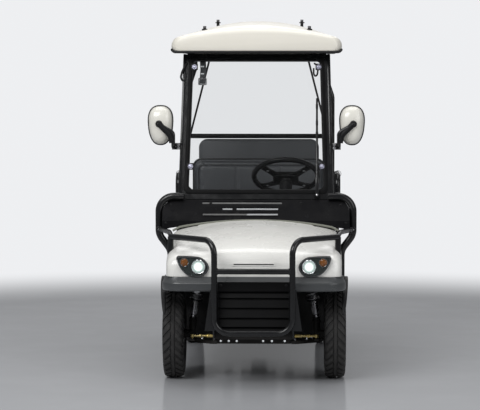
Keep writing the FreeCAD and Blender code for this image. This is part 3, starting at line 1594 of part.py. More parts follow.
def make_foot_rest():
    """Plate behind the rear bench with a raised back edge and the drawbar tongue under it."""
    top = s.rail_raised - s.seat_gap
    half = s.step_half
    back = s.step_back_y
    plate = block("step_plate", (-half, half), (s.rail_back_y - 90, back), (top - 10, top))
    lip = block("step_lip", (-half, half), (back - 10, back), (top - 34, top + 16))
    hanger = block("drawbar_block", (-32, 32), (s.rail_back_y - 80, s.rail_back_y - 30),
                   (top - 44, top - 8))
    tongue = block("drawbar_tongue", (-32, 32), (s.rail_back_y - 80, back - 22), (top - 56, top - 42))
    hole = rod("drawbar_hole", s.hitch_bore, 40, (0, back - 50, top - 70))
    node("foot_rest", cut("foot_rest", fuse("step_form", [plate, lip, hanger, tongue]), hole))


def make_tail_lamps():
    item = new_body("tail_lamp")
    pad(item, sketch(item, "XZ_Plane", round_rect(50, 50, -26, 26, 14)), 22, "One side", True)
    place(item, s.tail_lamp_x, s.body_back_y + s.seat_gap, s.tail_lamp_z)
    pair("tail_lamps", item)


def make_all():
    make_wheels()
    make_chassis()
    make_front_cradle()
    make_rack()
    make_front_arms()
    make_knuckles()
    make_struts()
    make_rear_axle()
    make_springs()
    make_battery()
    make_floor()
    make_sills()
    make_front_body()
    make_arch_lips()
    make_bumper()
    make_grille()
    make_bull_bar()
    make_cowl()
    make_side_hoops()
    make_windscreen()
    make_wiper()
    make_dashboard()
    make_column()
    make_steering_wheel()
    make_pedals()
    make_lamps()
    make_mirrors()
    make_rear_body()
    make_seats()
    make_seat_frame()
    make_arm_rests()
    make_roof()
    make_roof_frame()
    make_foot_rest()
    make_tail_lamps()


def check_and_write():
    """Stop at the first piece that failed, then write every piece."""
    doc.recompute()
    for item in doc.Objects:
        if "Invalid" in item.State or "Error" in item.State:
            raise ValueError("%s failed" % item.Name)
    os.makedirs("parts", exist_ok=True)
    for name, item in NODES.items():
        solid = item.Shape
        if solid.isNull() or not solid.isValid() or not solid.Solids:
            raise ValueError("%s has no valid solid" % name)
        solid.exportStep("parts/%s.step" % name)


make_all()
check_and_write()
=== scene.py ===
import math

import bmesh
import bpy
from mathutils import Matrix, Vector
from mathutils.bvhtree import BVHTree


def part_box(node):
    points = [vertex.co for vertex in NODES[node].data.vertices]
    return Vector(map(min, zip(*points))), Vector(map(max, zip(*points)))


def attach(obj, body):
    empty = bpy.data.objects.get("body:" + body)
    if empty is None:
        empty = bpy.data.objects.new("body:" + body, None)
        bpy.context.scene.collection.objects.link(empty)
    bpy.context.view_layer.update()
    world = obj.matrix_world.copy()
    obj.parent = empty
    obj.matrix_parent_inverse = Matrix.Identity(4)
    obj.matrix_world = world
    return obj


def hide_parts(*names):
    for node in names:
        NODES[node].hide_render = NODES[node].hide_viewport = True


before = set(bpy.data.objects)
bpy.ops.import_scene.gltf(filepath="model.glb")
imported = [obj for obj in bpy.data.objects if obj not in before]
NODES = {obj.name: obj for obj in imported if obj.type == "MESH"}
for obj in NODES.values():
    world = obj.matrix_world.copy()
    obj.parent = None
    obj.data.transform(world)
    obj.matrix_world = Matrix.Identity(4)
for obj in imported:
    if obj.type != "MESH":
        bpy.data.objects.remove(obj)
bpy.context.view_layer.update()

# Compact golf cart, dressed. Metres. +X is the cart's left side, -Y its front, Z up.

CASTERS = {}
FLIP = Matrix.Diagonal((-1, 1, 1, 1))
FORWARD = Matrix.Rotation(math.radians(90), 4, "X")
DOWN = (0, 0, -1)
AHEAD = (0, -1, 0)
# front axle, rear axle, rack, king pins, leaf springs and the body's sides
AXLE_Y, AXLE_Z = -0.775, 0.235
REAR_AXLE_Y = 0.745
RACK_Y = -0.875
KING_PIN_X = 0.335
SPRING_X = 0.185
BODY_SIDE = 0.470


# Mesh helpers


def new_object(name, verts, faces):
    """Mesh object from lists of points and faces, its normals outward."""
    data = bpy.data.meshes.new(name)
    data.from_pydata([tuple(v) for v in verts], [], [tuple(f) for f in faces])
    data.validate()
    item = bpy.data.objects.new(name, data)
    bpy.context.scene.collection.objects.link(item)
    tidy_normals(item)
    return smooth_by_angle(item)


def wall_faces(rows, count, round_rows=False, round_spots=True):
    """Quads between rows that are each a number of points long."""
    faces = []
    for row in range(rows if round_rows else rows - 1):
        here, after = row * count, (row + 1) % rows * count
        for spot in range(count if round_spots else count - 1):
            to = (spot + 1) % count
            faces.append((here + spot, here + to, after + to, after + spot))
    return faces


def end_faces(rows, count):
    """Faces that close the first and the last row."""
    return [tuple(range(count))[::-1], tuple(range((rows - 1) * count, rows * count))]


def tidy_normals(item, weld=0.0):
    """Merge points closer than a reach, and point all faces outward."""
    form = bmesh.new()
    form.from_mesh(item.data)
    if weld:
        bmesh.ops.remove_doubles(form, verts=form.verts, dist=weld)
    bmesh.ops.recalc_face_normals(form, faces=form.faces)
    form.to_mesh(item.data)
    form.free()


def smooth_by_angle(item, degrees=38):
    """Smooth shading with sharp edges where faces meet at more than an angle."""
    item.data.shade_smooth()
    item.data.set_sharp_from_angle(angle=math.radians(degrees))
    return item


def modified(item, kind, **settings):
    """Apply one modifier."""
    change = item.modifiers.new("change", kind)
    for key, setting in settings.items():
        setattr(change, key, setting)
    graph = bpy.context.evaluated_depsgraph_get()
    data = bpy.data.meshes.new_from_object(item.evaluated_get(graph))
    item.modifiers.clear()
    old = item.data
    item.data = data
    bpy.data.meshes.remove(old)
    return item


def bevel(item, width, segments=2, angle=32):
    modified(item, "BEVEL", width=width, segments=segments, limit_method="ANGLE",
             angle_limit=math.radians(angle))
    return smooth_by_angle(item)


def subdivided(item, levels, crease_angle):
    """Rounded form that keeps its edges where faces meet at more than an angle."""
    form = bmesh.new()
    form.from_mesh(item.data)
    layer = form.edges.layers.float.new("crease_edge")
    for edge in form.edges:
        if edge.is_boundary or edge.calc_face_angle(0) > math.radians(crease_angle):
            edge[layer] = 1.0
    form.to_mesh(item.data)
    form.free()
    return smooth_by_angle(modified(item, "SUBSURF", levels=levels, render_levels=levels))


def cut_away(item, *tools):
    """Cut each tool out of an item, and remove the tools."""
    for tool in tools:
        modified(item, "BOOLEAN", operation="DIFFERENCE", solver="EXACT", object=tool)
        bpy.data.objects.remove(tool)
    return smooth_by_angle(item)


def join(name, items):
    """One mesh object from several, each kept with its own materials."""
    form = bmesh.new()
    materials = []
    for item in items:
        start = len(form.faces)
        data = item.data.copy()
        data.transform(item.matrix_world)
        form.from_mesh(data)
        form.faces.ensure_lookup_table()
        slots = []
        for material in item.data.materials:
            if material not in materials:
                materials.append(material)
            slots.append(materials.index(material))
        for face in form.faces[start:]:
            if slots:
                face.material_index = slots[min(face.material_index, len(slots) - 1)]
        bpy.data.meshes.remove(data)
    data = bpy.data.meshes.new(name)
    form.to_mesh(data)
    form.free()
    for material in materials:
        data.materials.append(material)
    for item in items:
        old = item.data
        bpy.data.objects.remove(item)
        if old.users == 0:
            bpy.data.meshes.remove(old)
    result = bpy.data.objects.new(name, data)
    bpy.context.scene.collection.objects.link(result)
    return smooth_by_angle(result)


def twin(item):
    """Mirror image across the cart's middle plane."""
    data = item.data.copy()
    data.transform(FLIP)
    data.flip_normals()
    other = bpy.data.objects.new(item.name + "_twin", data)
    bpy.context.scene.collection.objects.link(other)
    return other


def move(item, matrix):
    item.data.transform(matrix)
    if matrix.determinant() < 0:
        item.data.flip_normals()
    return item


def paint(item, *materials):
    item.data.materials.clear()
    for material in materials:
        item.data.materials.append(material)
    return item


def fit(pieces, finish, item, *place):
    """Finish an item, set it in its place if one is given, and keep it with its pieces."""
    if place:
        at(item, *place)
    pieces.append(paint(item, M[finish]))


def finish_piece(item, body, material=None, replaces=()):
    """Tie a visible piece to its body and the CAD nodes that it stands for."""
    if material:
        paint(item, material)
    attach(item, body)
    if replaces:
        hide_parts(*replaces)


def box_form(name, low, high, edge=0.0, segments=2):
    """Block between two corners with its edges rounded."""
    verts = [(x, y, z) for x in (low[0], high[0]) for y in (low[1], high[1]) for z in (low[2], high[2])]
    faces = [(0, 1, 3, 2), (4, 6, 7, 5), (0, 4, 5, 1), (2, 3, 7, 6), (0, 2, 6, 4), (1, 5, 7, 3)]
    item = new_object(name, verts, faces)
    return bevel(item, edge, segments) if edge else item


def lathe(name, profile, segments=32, axis="z", closed=False):
    """Turn (radius, height) points about an axis through the origin."""
    verts = []
    for step in range(segments):
        angle = math.radians(360.0) * step / segments
        for radius, height in profile:
            verts.append((radius * math.cos(angle), radius * math.sin(angle), height))
    count = len(profile)
    faces = []
    for step in range(segments):
        here, after = step * count, (step + 1) % segments * count
        for spot in range(count if closed else count - 1):
            to = (spot + 1) % count
            faces.append((here + spot, after + spot, after + to, here + to))
    item = new_object(name, verts, faces)
    tidy_normals(item, weld=1e-6)
    smooth_by_angle(item)
    return move(item, {"z": Matrix.Identity(4), "x": turned(90, "Y"), "y": turned(-90, "X"),
                       "-y": turned(90, "X")}[axis])


def at(item, x, y, z, turn=None):
    """Turn an item about the origin, then carry it to a place."""
    matrix = Matrix.Translation((x, y, z))
    if turn is not None:
        matrix = matrix @ turn
    return move(item, matrix)


def turned(degrees, axis):
    return Matrix.Rotation(math.radians(degrees), 4, axis)


def rounded_route(points, bend, steps=7):
    """Points along straight runs joined by arcs."""
    points = [Vector(p) for p in points]
    route = [points[0]]
    for before, corner, after in zip(points, points[1:], points[2:]):
        back, ahead = before - corner, after - corner
        turn = math.pi - back.angle(ahead)
        if turn < 0.02:
            route.append(corner)
            continue
        reach = min(bend * math.tan(turn / 2), back.length * 0.49, ahead.length * 0.49)
        back.normalize()
        ahead.normalize()
        first, last = corner + back * reach, corner + ahead * reach
        inner = (back + ahead).normalized()
        hub = corner + inner * math.sqrt(reach ** 2 + (reach / math.tan(turn / 2)) ** 2)
        radius = (first - hub).length
        start, end = (first - hub).normalized(), (last - hub).normalized()
        for step in range(steps + 1):
            route.append(hub + start.slerp(end, step / steps) * radius)
    route.append(points[-1])
    return route


def tube(name, route, radius, segments=16, closed=False):
    """Round bar along a route; the radius is one number or one for each point."""
    route = [Vector(p) for p in route]
    count = len(route)
    radii = radius if isinstance(radius, (list, tuple)) else [radius] * count
    verts = []
    side = None
    for index, point in enumerate(route):
        before = route[index - 1] if index or closed else point
        after = route[(index + 1) % count] if index < count - 1 or closed else point
        along = (after - before).normalized()
        if side is None:
            side = along.orthogonal().normalized()
        side = (side - along * side.dot(along)).normalized()
        other = along.cross(side)
        for step in range(segments):
            angle = 2 * math.pi * step / segments
            verts.append(point + (side * math.cos(angle) + other * math.sin(angle)) * radii[index])
    ends = [] if closed else end_faces(count, segments)
    return new_object(name, verts, wall_faces(count, segments, closed) + ends)


def prism(name, outline, depth, axis="y", edge=0.0):
    """Pad a closed outline. The outline's two coordinates are the other two axes, in order."""
    count = len(outline)
    place = {"x": lambda a, b, d: (d, a, b), "y": lambda a, b, d: (a, d, b), "z": lambda a, b,
             d: (a, b, d)}[axis]
    verts = [place(a, b, d) for d in depth for a, b in outline]
    faces = [tuple(range(count)), tuple(range(count, 2 * count))[::-1]]
    for index in range(count):
        after = (index + 1) % count
        faces.append((index, index + count, after + count, after))
    item = new_object(name, verts, faces)
    return bevel(item, edge) if edge else item


def circle(radius, count):
    """Points of a circle, or of a hexagon and the like."""
    turns = [2 * math.pi * index / count for index in range(count)]
    return [(radius * math.cos(turn), radius * math.sin(turn)) for turn in turns]


def corner_arc(x, z, radius, start, steps):
    """Quarter circle about a point, from a start in degrees."""
    turns = [math.radians(start + 90 * step / steps) for step in range(steps + 1)]
    return [(x + radius * math.cos(turn), z + radius * math.sin(turn)) for turn in turns]


def rounded_outline(half_x, half_y, radius, steps=6, centre=(0, 0)):
    """Rounded rectangle as a list of points."""
    found = []
    for cx, cy, start in ((1, -1, -90), (1, 1, 0), (-1, 1, 90), (-1, -1, 180)):
        found += corner_arc(centre[0] + cx * (half_x - radius), centre[1] + cy * (half_y - radius), radius,
                            start, steps)
    return found


def mirrored(outline, sign):
    """Outline on the cart's left side, or its mirror image with the same way round."""
    return outline if sign > 0 else [(-x, z) for x, z in reversed(outline)]


def ball(name, radius, scale, segments):
    """Upper half of a sphere, flattened by a scale."""
    rings = segments // 2
    turns = [-math.pi / 2 + math.pi * step / rings for step in range(rings + 1)]
    turns = [turn for turn in turns if math.sin(turn) > -1e-6]
    profile = [(max(radius * math.cos(turn), 1e-5), radius * math.sin(turn)) for turn in turns]
    return move(lathe(name, profile, segments), Matrix.Diagonal((*scale, 1)))


def bolt_head(name, radius, tall):
    """Hexagon head on its washer, along +Z from the origin."""
    head = prism(name + "_hex", circle(radius, 6), (tall * 0.25, tall), "z", radius * 0.09)
    rows = ((0.0001, tall * 0.28), (radius * 1.22, tall * 0.28), (radius * 1.3, tall * 0.14),
            (radius * 1.3, 0), (0.0001, 0))
    return join(name, [head, lathe(name + "_washer", rows, 20)])


def dome_bolt(name, radius):
    """Low dome head with a socket, along +Z."""
    profile = [(0.0001, radius * 0.42), (radius * 0.34, radius * 0.42), (radius * 0.36, radius * 0.62)]
    for step in range(7):
        angle = math.radians(62 - 62 * step / 6)
        profile.append((radius * math.cos(angle), radius * 0.7 * math.sin(angle)))
    return lathe(name, profile, 20)


# Materials


class Paint:
    """Node material: a base shader whose colour, roughness and relief vary over the surface."""

    def __init__(self, name, colour, rough=0.5, metal=0.0, coat=0.0, coat_rough=0.1, level=0.5):
        self.material = bpy.data.materials.new(name)
        self.material.use_nodes = True
        self.tree = self.material.node_tree
        self.shader = self.tree.nodes["Principled BSDF"]
        self.colour = colour
        self.rough = rough
        for socket, setting in (("Base Color", (*colour, 1)), ("Roughness", rough), ("Metallic", metal),
                                ("Coat Weight", coat), ("Coat Roughness",
                                                        coat_rough), ("Specular IOR Level", level)):
            self.put(self.shader, socket, setting)
        self.where = self.add("ShaderNodeTexCoord").outputs["Object"]
        self.tone = None
        self.relief = None

    def add(self, kind, **settings):
        made = self.tree.nodes.new(kind)
        for key, setting in settings.items():
            setattr(made, key, setting)
        return made

    def put(self, owner, socket, setting):
        owner.inputs[socket].default_value = setting

    def link(self, start, owner, socket):
        self.tree.links.new(start, owner.inputs[socket])

    def shade(self, socket, setting):
        self.put(self.shader, socket, setting)
        return self

    def noise(self, scale, detail=3.0):
        made = self.add("ShaderNodeTexNoise")
        self.put(made, "Scale", scale)
        self.put(made, "Detail", detail)
        self.link(self.where, made, "Vector")
        return made.outputs["Fac"]

    def cells(self, scale, feature="F1", randomness=1.0):
        made = self.add("ShaderNodeTexVoronoi", feature=feature)
        self.put(made, "Scale", scale)
        self.put(made, "Randomness", randomness)
        self.link(self.where, made, "Vector")
        return made.outputs["Distance"]

    def grain(self, scale):
        """Flat cells with sunk edges, as in pressed vinyl."""
        return self.ranged(self.cells(scale, "DISTANCE_TO_EDGE"), 0.0, 0.12)

    def waves(self, scale, axis):
        made = self.add("ShaderNodeTexWave", wave_type="BANDS", bands_direction=axis)
        self.put(made, "Scale", scale)
        self.link(self.where, made, "Vector")
        return made.outputs["Fac"]

    def ranged(self, value, low, high, to_low=0.0, to_high=1.0):
        made = self.add("ShaderNodeMapRange")
        for socket, setting in (("From Min", low), ("From Max", high), ("To Min", to_low),
                                ("To Max", to_high)):
            self.put(made, socket, setting)
        self.link(value, made, "Value")
        return made.outputs["Result"]

    def maths(self, way, first, second):
        made = self.add("ShaderNodeMath", operation=way)
        self.link(first, made, 0)
        self.link(second, made, 1)
        return made.outputs[0]

    def blend(self, share, colour):
        """Mix another colour over what the surface has so far, by a share from 0 to 1."""
        made = self.add("ShaderNodeMix", data_type="RGBA")
        made.clamp_factor = True
        colours = [one for one in made.inputs if one.type == "RGBA"]
        if self.tone is None:
            colours[0].default_value = (*self.colour, 1)
        else:
            self.tree.links.new(self.tone, colours[0])
        colours[1].default_value = (*colour, 1)
        self.link(share, made, 0)
        self.tone = [one for one in made.outputs if one.type == "RGBA"][0]
        self.link(self.tone, self.shader, "Base Color")
        return self

    def mottle(self, scale, amount, colour):
        """Soft patches of another tone."""
        return self.blend(self.ranged(self.noise(scale), 0.35, 0.7, 0, amount), colour)

    def grime(self, amount, colour=(0.32, 0.30, 0.27)):
        """Dust that settles on what faces up."""
        facing = self.add("ShaderNodeSeparateXYZ")
        shape = self.add("ShaderNodeNewGeometry")
        self.link(shape.outputs["Normal"], facing, 0)
        up = self.ranged(facing.outputs["Z"], 0.2, 1.0)
        patch = self.ranged(self.noise(14, 6), 0.3, 0.75, 0, amount)
        return self.blend(self.maths("MULTIPLY", up, patch), colour)

    def worn(self, colour, amount, scale):
        """Lighter, rubbed edges."""
        shape = self.add("ShaderNodeNewGeometry")
        edge = self.ranged(shape.outputs["Pointiness"], 0.52, 0.6)
        patch = self.ranged(self.noise(scale, 4), 0.35, 0.65, 0, amount)
        return self.blend(self.maths("MULTIPLY", edge, patch), colour)

    def low_dirt(self, top, amount, colour=(0.24, 0.22, 0.19)):
        """Road dust that fades out with height."""
        spot = self.add("ShaderNodeSeparateXYZ")
        self.link(self.where, spot, 0)
        fade = self.ranged(spot.outputs["Z"], 0.0, top, 1.0, 0.0)
        patch = self.ranged(self.noise(18, 6), 0.3, 0.7, 0.15, amount)
        return self.blend(self.maths("MULTIPLY", fade, patch), colour)

    def sheen_change(self, scale, spread):
        """Roughness that varies in patches."""
        change = self.ranged(self.noise(scale, 4.0), 0.3, 0.7, max(self.rough - spread, 0.02),
                             min(self.rough + spread, 1))
        self.link(change, self.shader, "Roughness")
        return self

    def relieved(self, made):
        """Set a relief node after the ones before it."""
        if self.relief:
            self.link(self.relief, made, "Normal")
        self.relief = made.outputs["Normal"]
        self.link(self.relief, self.shader, "Normal")
        return self

    def bump(self, pattern, strength, distance):
        """Relief from a pattern's name and settings."""
        height = getattr(self, pattern[0])(*pattern[1:])
        made = self.add("ShaderNodeBump")
        self.put(made, "Strength", strength)
        self.put(made, "Distance", distance)
        self.link(height, made, "Height")
        return self.relieved(made)

    def soft_edges(self, radius):
        """Edges catch the light as if rounded."""
        made = self.add("ShaderNodeBevel", samples=4)
        self.put(made, "Radius", radius)
        return self.relieved(made)

    def mixed(self, share, first, second):
        """Surface from two shaders, the second by a share."""
        mix = self.add("ShaderNodeMixShader")
        if isinstance(share, float):
            mix.inputs[0].default_value = share
        else:
            self.link(share, mix, 0)
        self.link(first.outputs[0], mix, 1)
        self.link(second.outputs[0], mix, 2)
        self.link(mix.outputs[0], self.tree.nodes["Material Output"], "Surface")


def moulded(name, colour, rough, coat, tint):
    """Glossy moulded skin with faint ripples and flow marks."""
    made = Paint(name, colour, rough, 0, coat, 0.08).mottle(2.2, 0.35, tint)
    made.mottle(60, 0.05, tuple(part * 0.95 for part in colour)).sheen_change(7, 0.05)
    return made.bump(("noise", 900, 2), 0.04, 0.0002).bump(("noise", 4, 1), 0.02, 0.001)


def lit(name, strength):
    """Face of a lit lamp, or a faint ring round it whose glow is a painted halo."""
    made = Paint(name, (0.55, 0.62, 0.58), 0.3).mottle(300, 0.4, (0.45, 0.52, 0.48))
    return made.shade("Emission Color", (0.86, 0.97, 0.90, 1)).shade("Emission Strength", strength)


def glass(name, tint, rough, share):
    """Clear pane: a share of it reflects and greys, and the rest lets everything through."""
    made = Paint(name, tuple(part * 0.03 for part in tint), rough, 0, 0.5, 0.03)
    made.mottle(3, 0.5, tuple(part * 0.02 for part in tint)).bump(("noise", 3, 1), 0.02, 0.001)
    clear = made.add("ShaderNodeBsdfTransparent")
    clear.inputs[0].default_value = (*tint, 1)
    made.mixed(share, clear, made.shader)
    return made


FINISHES = {
    "cream": moulded("cream_shell", (0.80, 0.77, 0.69), 0.34, 0.25, (0.775, 0.745, 0.66)).grime(0.08),
    "white": moulded("white_shell", (0.80, 0.795, 0.765), 0.28, 0.35, (0.775, 0.77, 0.73))
        .low_dirt(0.42, 0.2),
    "mirror_case": moulded("mirror_case", (0.78, 0.765, 0.70), 0.26, 0.4, (0.75, 0.73, 0.66)),
    "charcoal": Paint("charcoal_shell", (0.046, 0.050, 0.053), 0.33, 0, 0.18, 0.2)
        .mottle(5, 0.3, (0.055, 0.059, 0.062)).grime(0.06).low_dirt(0.6, 0.08).sheen_change(9, 0.08)
        .bump(("cells", 900), 0.10, 0.0003).soft_edges(0.003),
    "trim": Paint("black_trim", (0.0085, 0.0088, 0.0095), 0.44, level=0.18)
        .mottle(8, 0.4, (0.012, 0.012, 0.0125)).grime(0.01).sheen_change(14, 0.09)
        .bump(("cells", 700), 0.22, 0.0004).soft_edges(0.0025),
    "paint": Paint("black_paint", (0.007, 0.0073, 0.008), 0.20, 0, 0.0, 0.12, level=0.40)
        .mottle(6, 0.4, (0.010, 0.010, 0.011)).sheen_change(20, 0.07).bump(("noise", 520, 2), 0.10, 0.0003)
        .soft_edges(0.002),
    "chassis": Paint("chassis_paint", (0.008, 0.008, 0.009), 0.48, 0, 0.0, 0.4, level=0.14)
        .mottle(9, 0.5, (0.013, 0.0125, 0.012)).grime(0.03).low_dirt(0.4, 0.12).sheen_change(16, 0.15)
        .bump(("noise", 260, 4), 0.25, 0.0006).soft_edges(0.002),
    "steel": Paint("plated_steel", (0.46, 0.46, 0.48), 0.32, 1.0).mottle(30, 0.6, (0.30, 0.29, 0.28))
        .low_dirt(0.4, 0.3).sheen_change(50, 0.1).bump(("noise", 700, 3), 0.12, 0.0003).soft_edges(0.001),
    "zinc": Paint("zinc_yellow", (0.56, 0.42, 0.13), 0.34, 1.0).mottle(26, 0.8, (0.42, 0.36, 0.20))
        .low_dirt(0.34, 0.35).sheen_change(40, 0.1).bump(("noise", 600, 3), 0.1, 0.0003).soft_edges(0.001),
    "wheel": Paint("wheel_silver", (0.52, 0.53, 0.54), 0.32, 0.65, 0.3, 0.15)
        .mottle(14, 0.4, (0.42, 0.42, 0.42)).low_dirt(0.40, 0.45).sheen_change(30, 0.08)
        .bump(("noise", 500, 2), 0.08, 0.0003).soft_edges(0.0015),
    "tyre": Paint("tyre_rubber", (0.017, 0.017, 0.018), 0.78, level=0.35)
        .mottle(24, 0.6, (0.028, 0.0275, 0.026)).low_dirt(0.5, 0.22, (0.065, 0.06, 0.055))
        .worn((0.07, 0.067, 0.063), 0.5, 90).sheen_change(22, 0.1).bump(("noise", 420, 5), 0.35, 0.0007),
    "vinyl": Paint("seat_vinyl", (0.052, 0.056, 0.062), 0.48, level=0.55)
        .mottle(6, 0.5, (0.07, 0.074, 0.08)).grime(0.10, (0.22, 0.22, 0.22)).sheen_change(10, 0.07)
        .bump(("grain", 520), 0.35, 0.0006).bump(("noise", 35, 3), 0.22, 0.002),
    "piping": Paint("seat_piping", (0.016, 0.016, 0.018), 0.42).mottle(30, 0.5, (0.03, 0.03, 0.032))
        .bump(("noise", 300, 3), 0.2, 0.0005),
    "thread": Paint("stitch_thread", (0.15, 0.155, 0.165), 0.7).mottle(200, 0.5, (0.09, 0.09, 0.10))
        .bump(("waves", 600, "X"), 0.4, 0.0003),
    "mat": Paint("floor_mat", (0.018, 0.018, 0.019), 0.72, level=0.3).mottle(7, 0.6, (0.03, 0.029, 0.028))
        .grime(0.2).sheen_change(20, 0.1).bump(("noise", 300, 4), 0.3, 0.0006).soft_edges(0.0015),
    "rubber": Paint("rubber", (0.011, 0.011, 0.012), 0.6, level=0.25).mottle(30, 0.5, (0.02, 0.02, 0.02))
        .grime(0.05).bump(("noise", 380, 4), 0.25, 0.0005).soft_edges(0.0012),
    "red": Paint("red_lens", (0.42, 0.012, 0.015), 0.14, 0, 0.5, 0.05).mottle(40, 0.5, (0.28, 0.006, 0.01))
        .shade("Transmission Weight", 0.25).bump(("cells", 260, "F1", 0.0), 0.35, 0.001),
    "amber": Paint("amber_lens", (0.55, 0.17, 0.015), 0.14, 0, 0.6, 0.05)
        .mottle(60, 0.7, (0.34, 0.085, 0.006)).shade("Emission Color", (0.95, 0.32, 0.03, 1))
        .shade("Emission Strength", 0.03).bump(("cells", 300, "F1", 0.0), 0.5, 0.001),
    "chrome": Paint("chrome", (0.82, 0.83, 0.84), 0.08, 1.0).mottle(40, 0.3, (0.66, 0.67, 0.68))
        .sheen_change(60, 0.04),
    "dome": Paint("dome_steel", (0.56, 0.56, 0.68), 0.28, 0.85).mottle(120, 0.4, (0.40, 0.40, 0.50))
        .sheen_change(90, 0.06),
    "mirror": Paint("mirror_face", (0.86, 0.87, 0.88), 0.03, 1.0).mottle(20, 0.1, (0.80, 0.81, 0.82))
        .sheen_change(30, 0.015),
    "case": Paint("pack_case", (0.05, 0.055, 0.06), 0.5).mottle(9, 0.5, (0.07, 0.075, 0.08)).grime(0.3)
        .bump(("noise", 300, 3), 0.2, 0.0005).soft_edges(0.002),
    "led": Paint("led_face", (0.9, 0.93, 0.95), 0.25).mottle(300, 0.4, (0.7, 0.8, 0.85))
        .shade("Emission Color", (0.93, 0.99, 0.97, 1)).shade("Emission Strength", 3.0),
    "reflector": Paint("lamp_reflector", (0.085, 0.10, 0.088), 0.3, 0.5)
        .mottle(60, 0.5, (0.055, 0.066, 0.058)).bump(("waves", 240, "X"), 0.25, 0.0008),
    "gauge": Paint("gauge_face", (0.012, 0.014, 0.018), 0.2).mottle(40, 0.3, (0.02, 0.024, 0.03)),
    "pale": Paint("pale_print", (0.72, 0.74, 0.76), 0.4).mottle(90, 0.3, (0.6, 0.62, 0.64)),
    "gloss": Paint("gloss_black", (0.007, 0.007, 0.008), 0.24, 0, 0.0, 0.12, level=0.14)
        .mottle(5, 0.3, (0.013, 0.013, 0.014)).grime(0.03).sheen_change(11, 0.06)
        .bump(("noise", 14, 2), 0.05, 0.001).soft_edges(0.003),
    "deep": Paint("deep_black", (0.0040, 0.0041, 0.0044), 0.45, level=0.09)
        .mottle(9, 0.4, (0.007, 0.007, 0.0075)).sheen_change(14, 0.08).bump(("cells", 700), 0.2, 0.0004)
        .soft_edges(0.002),
    # painted light: pale and grey strips set in the cowl slots stand in for light seen through them
    "slot_light": Paint("painted_slot_light", (0.50, 0.51, 0.53), 0.4, 0.2).mottle(30, 0.4, (0.40, 0.41, 0.43))
        .bump(("noise", 160, 2), 0.1, 0.0003),
    "slot_dim_light": Paint("painted_slot_dim_light", (0.22, 0.22, 0.22), 0.5, 0.6).mottle(30, 0.4, (0.14, 0.14, 0.14))
        .bump(("noise", 160, 2), 0.1, 0.0003),
    "web": Paint("web_strap", (0.05, 0.052, 0.056), 0.8).mottle(60, 0.4, (0.035, 0.036, 0.04))
        .bump(("waves", 420, "Z"), 0.5, 0.0004),
    "seal": Paint("olive_seal", (0.20, 0.205, 0.17), 0.6).mottle(40, 0.4, (0.15, 0.155, 0.13))
        .bump(("noise", 300, 3), 0.2, 0.0004),
    "glass": glass("clear_glass", (0.985, 0.99, 0.99), 0.02, 0.055),
    "lamp_glass": glass("lamp_glass", (0.95, 0.97, 0.98), 0.03, 0.2),
    "led_mid": lit("led_mid", 1.5),
    "led_edge": lit("led_edge", 0.75),
    # painted halo: faint glowing ring round the headlamp's face
    "led_painted_halo": lit("led_painted_halo", 0.26),
}
M = {name: made.material for name, made in FINISHES.items()}

CAD_FINISH = {
    "arch_lips": "trim", "arm_rests": "paint", "battery_block": "case", "bull_bar": "paint",
    "chassis_frame": "chassis", "cowl_panel": "gloss", "dashboard": "trim", "floor_pan": "mat",
    "foot_rest": "chassis", "front_arms": "chassis", "front_backrest": "vinyl", "front_body": "white",
    "front_bumper": "charcoal", "front_cradle": "chassis", "front_seat": "vinyl", "grille": "deep",
    "head_lamps": "trim", "knuckle_left": "chassis", "knuckle_right": "chassis", "lamp_lenses": "lamp_glass",
    "leaf_springs": "chassis", "mirror_arms": "paint", "mirror_glasses": "mirror", "mirrors": "mirror_case",
    "pedals": "steel", "rear_axle": "chassis", "rear_backrest": "vinyl", "rear_body": "white",
    "rear_liners": "trim", "rear_seat": "vinyl", "roof": "cream", "roof_frame": "paint",
    "roof_rim": "trim", "roof_studs": "trim", "seat_frame": "paint", "side_hoops": "paint",
    "sills": "trim", "steering_column": "trim",
    "steering_rack": "zinc", "steering_wheel": "trim", "struts": "steel", "tail_lamps": "red",
    "windscreen": "glass", "windscreen_frame": "paint", "wiper": "trim",
}

for name, item in NODES.items():
    paint(item, M[CAD_FINISH.get(name, "tyre" if name.startswith("tyre") else "wheel")])


# Wheels and tyres


def middle_of(name):
    low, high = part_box(name)
    return (low + high) / 2


TREAD_PITCHES = 32
GROOVE_DEPTH = 0.0065
# across, radius, share of the groove's depth, from the bead to the middle rib
TYRE_SIDE = (
    (0.0410, 0.1215, 0), (0.0440, 0.1335, 0), (0.0475, 0.1375, 0), (0.0482, 0.1400, 0),
    (0.0505, 0.1445, 0), (0.0545, 0.1540, 0), (0.0562, 0.1620, 0), (0.0572, 0.1626, 0),
    (0.0575, 0.1700, 0), (0.0575, 0.1790, 0), (0.0566, 0.1800, 0), (0.0562, 0.1900, 0),
    (0.0550, 0.2000, 0), (0.0557, 0.2012, 0), (0.0552, 0.2080, 0.35), (0.0540, 0.2150, 0.7),
    (0.0522, 0.2215, 1), (0.0490, 0.2268, 1), (0.0440, 0.2303, 1), (0.0370, 0.2326, 1),
    (0.0300, 0.2337, 1), (0.0200, 0.2345, 1), (0.0135, 0.2348, 1), (0.0126, 0.2285, 0),
    (0.0086, 0.2285, 0), (0.0077, 0.2349, 0), (0.0, 0.2350, 0),
)
# share of a pitch, and whether the column runs in the groove
TREAD_COLUMNS = ((0.0, 0), (0.28, 0), (0.56, 0), (0.60, 1), (0.78, 1), (0.96, 1))


